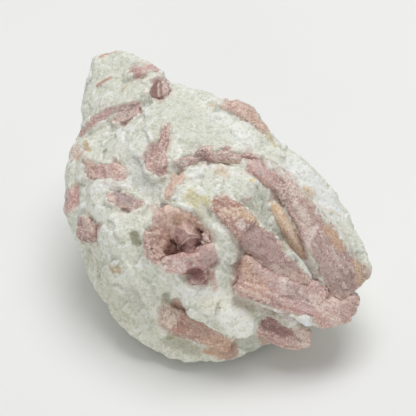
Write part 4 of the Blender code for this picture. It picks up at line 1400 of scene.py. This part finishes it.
# Stains, streaks and specks, with some painted shadow lines and white rock painted full white against its
# shade.
ROCK_STAINS: tuple[Mark, ...] = (
    Mark(((97, 85), (104, 81), (111, 78)), 0.35, (202, 156, 140), cover=0.9, ragged=0.2, soft=0.3),
    Mark(((121, 92), (124, 89), (128, 86)), 0.35, (212, 186, 150), cover=0.9, ragged=0.2, soft=0.3),
    Mark(((101, 57), (107, 54), (115, 51)), 0.4, (214, 172, 152), cover=0.9, ragged=0.2, soft=0.3),
    Mark(((114, 121), (118, 119)), 0.9, (206, 166, 158), cover=0.8, crumbs=0.6),
    Mark(((120, 117), (130, 113), (139, 110)), 1.2, (216, 184, 176), crumbs=0.8, ragged=0.8),
    Mark(((123, 124), (126, 126)), 0.5, (186, 146, 138)),
    Mark(((104, 151), (106, 150)), 0.45, (150, 156, 118), cover=0.85, ragged=0.2),
    Mark(((74, 149), (81, 152), (76, 158)), 1.3, (222, 190, 172), cover=0.8, ragged=0.7, crumbs=0.5),
    Mark(((86, 143), (89, 151)), 0.5, (220, 192, 146), cover=0.9, ragged=0.3),
    Mark(((84, 160), (88, 164)), 0.8, (214, 180, 166), ragged=0.6),
    Mark(((213, 103), (222, 107)), 0.4, (228, 186, 162), cover=0.9, ragged=0.2),
    Mark(((263, 131), (269, 138), (274, 145)), 0.6, (218, 200, 156), cover=0.6, ragged=0.5),
    Mark(((219, 172), (226, 174)), 1.1, (230, 206, 180), cover=0.6, ragged=0.6),
    Mark(((249, 181), (252, 181)), 0.4, (232, 210, 146), cover=0.8, ragged=0.2),
    Mark(((248, 200),), 0.7, (236, 212, 208), cover=0.6),
    Mark(((306, 190), (312, 192)), 1.0, (234, 210, 182), ragged=0.6),
    Mark(((267, 163), (280, 168), (292, 175)), 0.3, (228, 196, 186), cover=0.8, ragged=0.2, soft=0.3),
    Mark(((282, 172), (296, 180)), 0.3, (228, 198, 188), ragged=0.2, soft=0.3),
    Mark(((308, 200), (325, 209), (340, 215)), 0.45, (230, 212, 190), cover=0.6, lift=0.3, ragged=0.3),
    Mark(((314, 206), (328, 216), (336, 224)), 0.6, (250, 250, 247), cover=0.8, lift=0.35, ragged=0.3),
    Mark(((282, 246), (285, 250)), 0.45, (156, 146, 66), cover=0.9, ragged=0.2),
    Mark(((233, 238), (236, 240)), 0.4, (212, 186, 100), cover=0.9, ragged=0.15),
    Mark(((190, 195), (196, 202)), 1.3, (220, 208, 160), cover=0.65, ragged=0.9, soft=1.0),
    Mark(((205, 199), (209, 203)), 0.8, (222, 208, 150), cover=0.6, ragged=0.6),
    Mark(((197, 216), (206, 212)), 1.5, (192, 186, 166), cover=0.6, ragged=0.6),
    Mark(((134, 235), (137, 242)), 0.9, (146, 144, 120), cover=0.8, ragged=0.4, lift=-0.3),
    Mark(((112, 268), (118, 270)), 0.8, (206, 182, 146), ragged=0.5),
    Mark(((88, 250), (92, 258)), 0.6, (210, 192, 156), cover=0.65, ragged=0.4),
    Mark(((212, 275), (215, 288)), 0.6, (212, 172, 158), cover=0.75, ragged=0.5),
    Mark(((207, 271), (211, 272)), 0.7, (214, 170, 160), ragged=0.5),
    Mark(((154, 208), (158, 213)), 1.0, (230, 196, 188), cover=0.6, ragged=0.6),
    Mark(((203, 350), (214, 352), (223, 355)), 0.4, (220, 172, 136), cover=0.85, ragged=0.3),
    Mark(((168, 338), (171, 337)), 0.6, (160, 158, 120), ragged=0.3),
    Mark(((194, 146), (199, 148)), 1.2, (186, 189, 177), cover=0.6, ragged=0.6, soft=1.0),
    Mark(((182, 165), (190, 158)), 1.0, (170, 162, 156), cover=0.6, ragged=0.6, soft=0.9),
    Mark(((144, 98), (148, 103)), 1.2, (196, 198, 186), ragged=0.6, soft=1.0),
    Mark(((262, 200), (270, 222), (281, 240)), 1.3, (200, 206, 194), cover=0.6, ragged=0.6),
    # White rock sliver beside the blade, painted full white as painted light on its recessed, shaded strip.
    Mark(
        ((303, 260), (310, 270), (320, 284)),
        3.2, (255, 255, 255), cover=1.0, lift=2.5, ragged=0.2, soft=1.3, bare=-0.4,
    ),
    Mark(((155, 307), (157, 319), (162, 331)), 1.3, (236, 232, 220), cover=0.4, ragged=0.9, bare=-0.9),
    # Painted shadow lines beside the needle and at the blade's right end.
    Mark(((292, 256), (297, 262)), 0.5, (156, 158, 146), ragged=0.3),
    Mark(((304, 274), (311, 283), (317, 284)), 0.45, (156, 146, 134), ragged=0.2),
    Mark(((350, 252), (356, 258)), 0.8, (186, 190, 174), ragged=0.5),
    # White chip over the knob, painted full white as painted light against the fan's shadow.
    Mark(
        ((273, 313), (283, 317), (292, 321)),
        1.7, (255, 255, 255), cover=1.0, lift=1.8, ragged=0.6, bare=-0.8,
    ),
    Mark(((303, 317), (307, 320)), 1.1, (240, 244, 244), cover=1.0, lift=1.0, soft=0.8, bare=-0.6),
    Mark(((302, 320), (309, 322)), 1.3, (236, 238, 232), cover=0.9, lift=0.6),
    # Painted shadow under the fan's lower edge.
    Mark(((266, 306), (276, 310), (286, 313)), 0.7, (172, 152, 144), lift=-0.3),
    Mark(((283, 144), (286, 150)), 1.2, lift=-0.8, soft=1.2),
    Mark(((193, 274), (203, 280)), 2.2, bare=2.5, ragged=0.2),
)


@dataclass(frozen=True)
class AlbiteRock:
    """The white rock that holds the crystals. Its sizes are in millimetres."""

    ground: Ground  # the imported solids
    voxel: float = 0.41  # the fineness of its surface
    worn: int = 10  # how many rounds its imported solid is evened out
    overlap: float = 0.42  # how far the crystals are grown so that rock and crystals fuse
    cover: float = 0.4  # how high the rock creeps over a crystal's rim
    bed: float = 0.8  # how deep it lies under a crystal's face
    fall: float = 0.9  # how steeply its rim runs down onto a crystal
    rim: float = 1.8  # how far from a crystal's face its rim reaches
    outlined: float = 2.4  # how far from a crystal's face the crystal's outline counts
    far: float = 3.0  # longer distances are held at this one
    turned: Span = (-0.05, 0.25)  # how squarely a place faces the camera where outlines start and fully count
    ragged: float = 0.7  # how far the rock's rim on a crystal wanders
    rag_sizes: Span = (1.7, 0.8)  # the widths of the rim's broad and fine rags
    frayed: float = 0.4  # the height of the rim's frayed edge
    fray_size: float = 0.9  # the width of the frays
    fitted: Span = (0.6, 1.2)  # how far from a crystal's face it follows that face fully, and no longer
    stained: Span = (-1.6, -0.1)  # where the rim's blush starts beside a crystal's border, and is full
    stain_size: float = 1.1  # the width of the blush's patches
    creep: float = 0.25  # how far the rock comes over a crystal where the display view doesn't show it
    allowed: float = 0.7  # how far outside a packed crystal its outline may still lay it bare
    foot: float = 1.2  # how high above the floor its foot reaches
    foot_swell: float = 0.04  # the share by which its foot swells just above the floor
    swell_heights: Span = (2.5, 7.0)  # where that is full, and above which it is gone
    foot_drawn: float = 0.42  # the share by which its foot draws in where it meets the floor
    drawn_heights: Span = (0.3, 2.4)  # where that is full, and above which it is gone
    low_shade_heights: Span = (4.0, 26.0)  # where its painted low shade is full, and above which it is gone
    crumbs: float = 0.22  # the share of pale crumbs on it
    tint_size: float = 7.0  # the width of its broad tints
    mottle_size: float = 1.6  # the width of its small spots
    body: Colour = (233, 234, 222)  # its main colour
    green: Colour = (222, 225, 209)  # the colour of its broad greenish tints
    pale: Colour = (244, 244, 239)  # the colour of its broad pale tints
    mottle: Colour = (222, 225, 212)  # the colour of its small spots
    painted_crest_highlight: Colour = (253, 254, 251)  # the colour of the painted highlight on what stands out of it
    painted_hollow_shade: Colour = (204, 206, 191)  # the colour of the painted shade in what lies deep in it
    painted_low_shade: Colour = (220, 217, 192)  # the colour of the painted shade on its lower part
    blush: Colour = (226, 202, 190)  # the colour of its rim on a crystal

    def build(self) -> Surface:
        """Shape and colour the rock.

        Returns:
            Its surface.
        """
        nodes = self.ground.nodes
        parts = [(nodes["matrix"], 0.0)] + [(nodes[crystal.node], self.overlap) for crystal in CRYSTALS]
        surface = Surface.fused("matrix", parts, self.voxel)
        surface.relax(self.worn)
        points = surface.points.copy()
        relief = self.relief(points)
        self.colour(surface, points, relief)
        facing = eased(surface.normals() @ np.array(self.ground.sight.back()), *self.turned)
        broad, fine = self.rag_sizes
        rags = Grain(broad, Salt.RIM).layers(points, 3) + 0.6 * Grain(fine, Salt.RIM_RAGS).layers(points, 2)
        wander = self.ragged * rags
        outside, drawn = self.bared(surface, facing, wander)
        lift, bare = surface.apply(ROCK_FORMS + ROCK_STAINS, self.ground)
        inside = self.inside(points, outside, drawn, facing) + (wander + bare)
        patches = eased(Grain(self.stain_size, Salt.RIM_STAIN).layers(points, 2), -0.2, 0.5)
        stain = eased(inside, *self.stained) * patches
        surface.paint(0.6 * stain * (outside < self.rim), self.blush)
        open_rock = (relief + lift) * eased(points[:, 2], 0.0, self.foot)
        fray = self.frayed * Grain(self.fray_size, Salt.RIM_FRAY).layers(points, 2)
        seat = np.clip(-self.fall * inside + fray, -self.bed, self.cover) - outside
        fully, no_longer = self.fitted
        over = eased(-outside, -no_longer, -fully)
        height = (1.0 - over) * open_rock
        height += over * np.where(inside > -0.5, seat, np.maximum(seat, 0.6 * relief))
        height += over * (1.0 - eased(inside, -0.3, 0.4)) * lift
        surface.raise_by(height)
        self.undercut(surface)
        return surface

    def bared(
        self, surface: Surface, facing: np.ndarray, wander: np.ndarray
    ) -> tuple[np.ndarray, np.ndarray]:
        """Find where the crystals lie under the rock's surface, and give it their colours there.

        Args:
            surface: the rock's surface.
            facing: how fully each point faces the display camera, from 0 to 1.
            wander: how far the rim wanders at each point.

        Returns:
            For each point how far it lies from the nearest crystal's face, and how far inside a crystal's
            outline.
        """
        points = surface.points
        outside = np.full(len(points), self.far)
        drawn = np.full(len(points), -self.far)
        for crystal in CRYSTALS:
            away = np.abs(self.ground.depth(crystal.node, points, self.far))
            outside = np.minimum(outside, away)
            near = np.flatnonzero(away < self.outlined)
            margin = np.full(len(points), -self.far)
            margin[near] = np.maximum(self.ground.within(points[near], crystal.outline), -self.far)
            drawn = np.where(away < self.rim, np.maximum(drawn, margin), drawn)
            surface.paint(0.85 * facing * eased(margin + wander, -0.2, 0.5), crystal.body)
        return outside, drawn

    def inside(
        self, points: np.ndarray, outside: np.ndarray, drawn: np.ndarray, facing: np.ndarray
    ) -> np.ndarray:
        """Measure how far inside a crystal's bared face points lie.

        Args:
            points: places on the rock's surface.
            outside: how far each one lies from the nearest crystal's face.
            drawn: how far inside a crystal's outline each one lies.
            facing: how fully each one faces the display camera, from 0 to 1.

        Returns:
            A distance for each point, below zero on the rock.
        """
        near = outside < self.rim
        rock = np.zeros(len(points))
        rock[near] = self.ground.depth("matrix", points[near], self.far)
        packed = rock - outside
        return packed - self.creep + facing * (np.minimum(drawn, packed + self.allowed) - packed + self.creep)

    def undercut(self, surface: Surface) -> None:
        """Let the rock's foot swell a little just above the floor and draw back where it meets it.

        Args:
            surface: the rock's surface.
        """
        flat = surface.points[:, :2]
        level = surface.points[:, 2]
        middle = flat[level < 1.0].mean(axis=0)
        (swell_low, swell_high), (drawn_low, drawn_high) = self.swell_heights, self.drawn_heights
        swell = self.foot_swell * eased(-level, -swell_high, -swell_low)
        swell -= self.foot_drawn * eased(-level, -drawn_high, -drawn_low)
        surface.points[:, :2] += (flat - middle) * swell[:, None]

    def relief(self, points: np.ndarray) -> np.ndarray:
        """Shape the broken surface: broad swells, chips, lumps and crumbs.

        Args:
            points: places on the rock's surface.

        Returns:
            A height in millimetres for each point.
        """
        height = 0.25 * Grain(6.0, Salt.ROCK_SWELLS).layers(points, 2)
        height += 0.15 * Grain(3.6, Salt.ROCK_CHIPS).chips(points)
        height += 0.08 * Grain(1.5, Salt.ROCK_SMALL_CHIPS).chips(points)
        height += 0.15 * Grain(2.2, Salt.ROCK_LUMPS).layers(points, 3)
        return height + 0.08 * Grain(1.0, Salt.ROCK_CRUMBS).crumbs(points)

    def colour(self, surface: Surface, points: np.ndarray, relief: np.ndarray) -> None:
        """Colour the rock by its grain, with painted highlights on what stands out, painted shade in what
        lies deep and a yellowish painted shade towards the bottom.

        Args:
            surface: the rock's surface.
            points: its places in millimetres.
            relief: its height at each point.
        """
        surface.colour[:] = linear(self.body)
        surface.crumbs[:] = self.crumbs
        broad = Grain(self.tint_size, Salt.ROCK_TINT).layers(points, 3)
        surface.paint(0.6 * eased(broad, 0.0, 0.8), self.green)
        surface.paint(0.7 * eased(-broad, 0.1, 0.8), self.pale)
        spots = Grain(self.mottle_size, Salt.ROCK_MOTTLE).layers(points, 3)
        surface.paint(0.5 * eased(spots, 0.1, 0.8), self.mottle)
        proud = surface.proud(relief)
        # Painted shade in what lies deep, painted highlight on what stands out.
        surface.paint(0.5 * eased(-proud, 0.02, 0.14), self.painted_hollow_shade)
        surface.paint(0.8 * eased(proud, 0.02, 0.12), self.painted_crest_highlight)
        # Yellowish painted shade towards the bottom, with fewer pale crumbs there.
        low = 1.0 - eased(points[:, 2], *self.low_shade_heights)
        surface.paint(0.25 * low, self.painted_low_shade)
        surface.crumbs *= 1.0 - 0.8 * low


@dataclass(frozen=True)
class Studio:
    """The pale floor, the soft light and the camera."""

    sight: Sight  # the display camera's place
    floor: float = 3.0  # the floor's side in metres
    floor_colour: Colour = (246, 247, 246)  # the floor's colour
    floor_fade: float = 0.985  # what its duller places are multiplied by
    floor_swell: float = 60.0  # the size of those places in millimetres
    sky: float = 0.375  # the strength of the light from all round
    light_colour: Colour = (1.0, 0.995, 0.985)  # the colour of both lamps, in linear light
    card: float = 1.0  # the power in watts that the pale card in front of the stone throws back
    card_size: float = 0.42  # its side in metres
    card_place: tuple[float, float, float] = (-0.1, -0.7, 0.12)  # where it stands in metres
    lamp: float = 2.03  # the overhead lamp's power in watts
    lamp_size: float = 0.38  # its side in metres
    lamp_place: tuple[float, float, float] = (0.05, 0.12, 0.57)  # where it hangs in metres

    def build(self) -> None:
        """Lay the floor, hang the lamp, stand the card and set the camera up."""
        bpy.context.scene.camera = self.sight.camera()
        self.lay_floor()
        self.hang("soft_lamp", self.lamp, self.lamp_size, self.lamp_place)
        self.hang("pale_card", self.card, self.card_size, self.card_place)
        self.light_room()

    def lay_floor(self) -> None:
        """Lay the floor under the stone."""
        half = self.floor / 2.0
        corners = [(-half, -half, 0), (half, -half, 0), (half, half, 0), (-half, half, 0)]
        mesh = bpy.data.meshes.new("floor")
        mesh.from_pydata(corners, [], [(0, 1, 2, 3)])
        floor = bpy.data.objects.new("floor", mesh)
        bpy.context.scene.collection.objects.link(floor)
        bench = Bench("pale_floor")
        tone = bench.ranged(bench.noise(bench.places(1.0, 20.0), self.floor_swell), (0.3, 0.7))
        light = linear(self.floor_colour)
        colour = bench.mixed(tone, solid(light), solid(light * self.floor_fade))
        matt = {"Base Color": colour, "Roughness": 0.85, "Specular IOR Level": 0.1}
        mesh.materials.append(bench.finished(matt))

    def hang(self, name: str, power: float, size: float, place: tuple[float, float, float]) -> None:
        """Hang a soft square light that looks at the stone.

        Args:
            name: the light's name.
            power: its power in watts.
            size: its side in metres.
            place: where it hangs in metres.
        """
        data = bpy.data.lights.new(name, "AREA")
        data.shape = "SQUARE"
        data.size = size
        data.energy = power
        data.color = self.light_colour
        light = bpy.data.objects.new(name, data)
        bpy.context.scene.collection.objects.link(light)
        light.location = place
        light.rotation_euler = Vector(place).to_track_quat("Z", "Y").to_euler()

    def light_room(self) -> None:
        """Light the room evenly and leave the colours as they are."""
        scene = bpy.context.scene
        world = bpy.data.worlds.new("room")
        scene.world = world
        world.use_nodes = True
        background = world.node_tree.nodes["Background"]
        background.inputs["Color"].default_value = (1.0, 1.0, 1.0, 1.0)
        background.inputs["Strength"].default_value = self.sky
        scene.view_settings.view_transform = "Standard"
        scene.view_settings.look = "None"


def main() -> None:
    """Build the studio, the rock and the crystals."""
    logging.basicConfig(level=logging.INFO, format="%(message)s")
    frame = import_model()
    sight = Sight()
    Studio(sight).build()
    ground = Ground(frame["nodes"], sight)
    materials = {finish.name: finish.material() for finish in (ALBITE, ROSE, MAUVE, PEACH)}
    AlbiteRock(ground).build().piece(materials[ALBITE.name], ALBITE.slot, "matrix")
    for number, crystal in enumerate(CRYSTALS):
        piece = CrystalPiece(crystal, ground, number)
        piece.dress(piece.build(), materials)


if __name__ == "__main__":
    main()
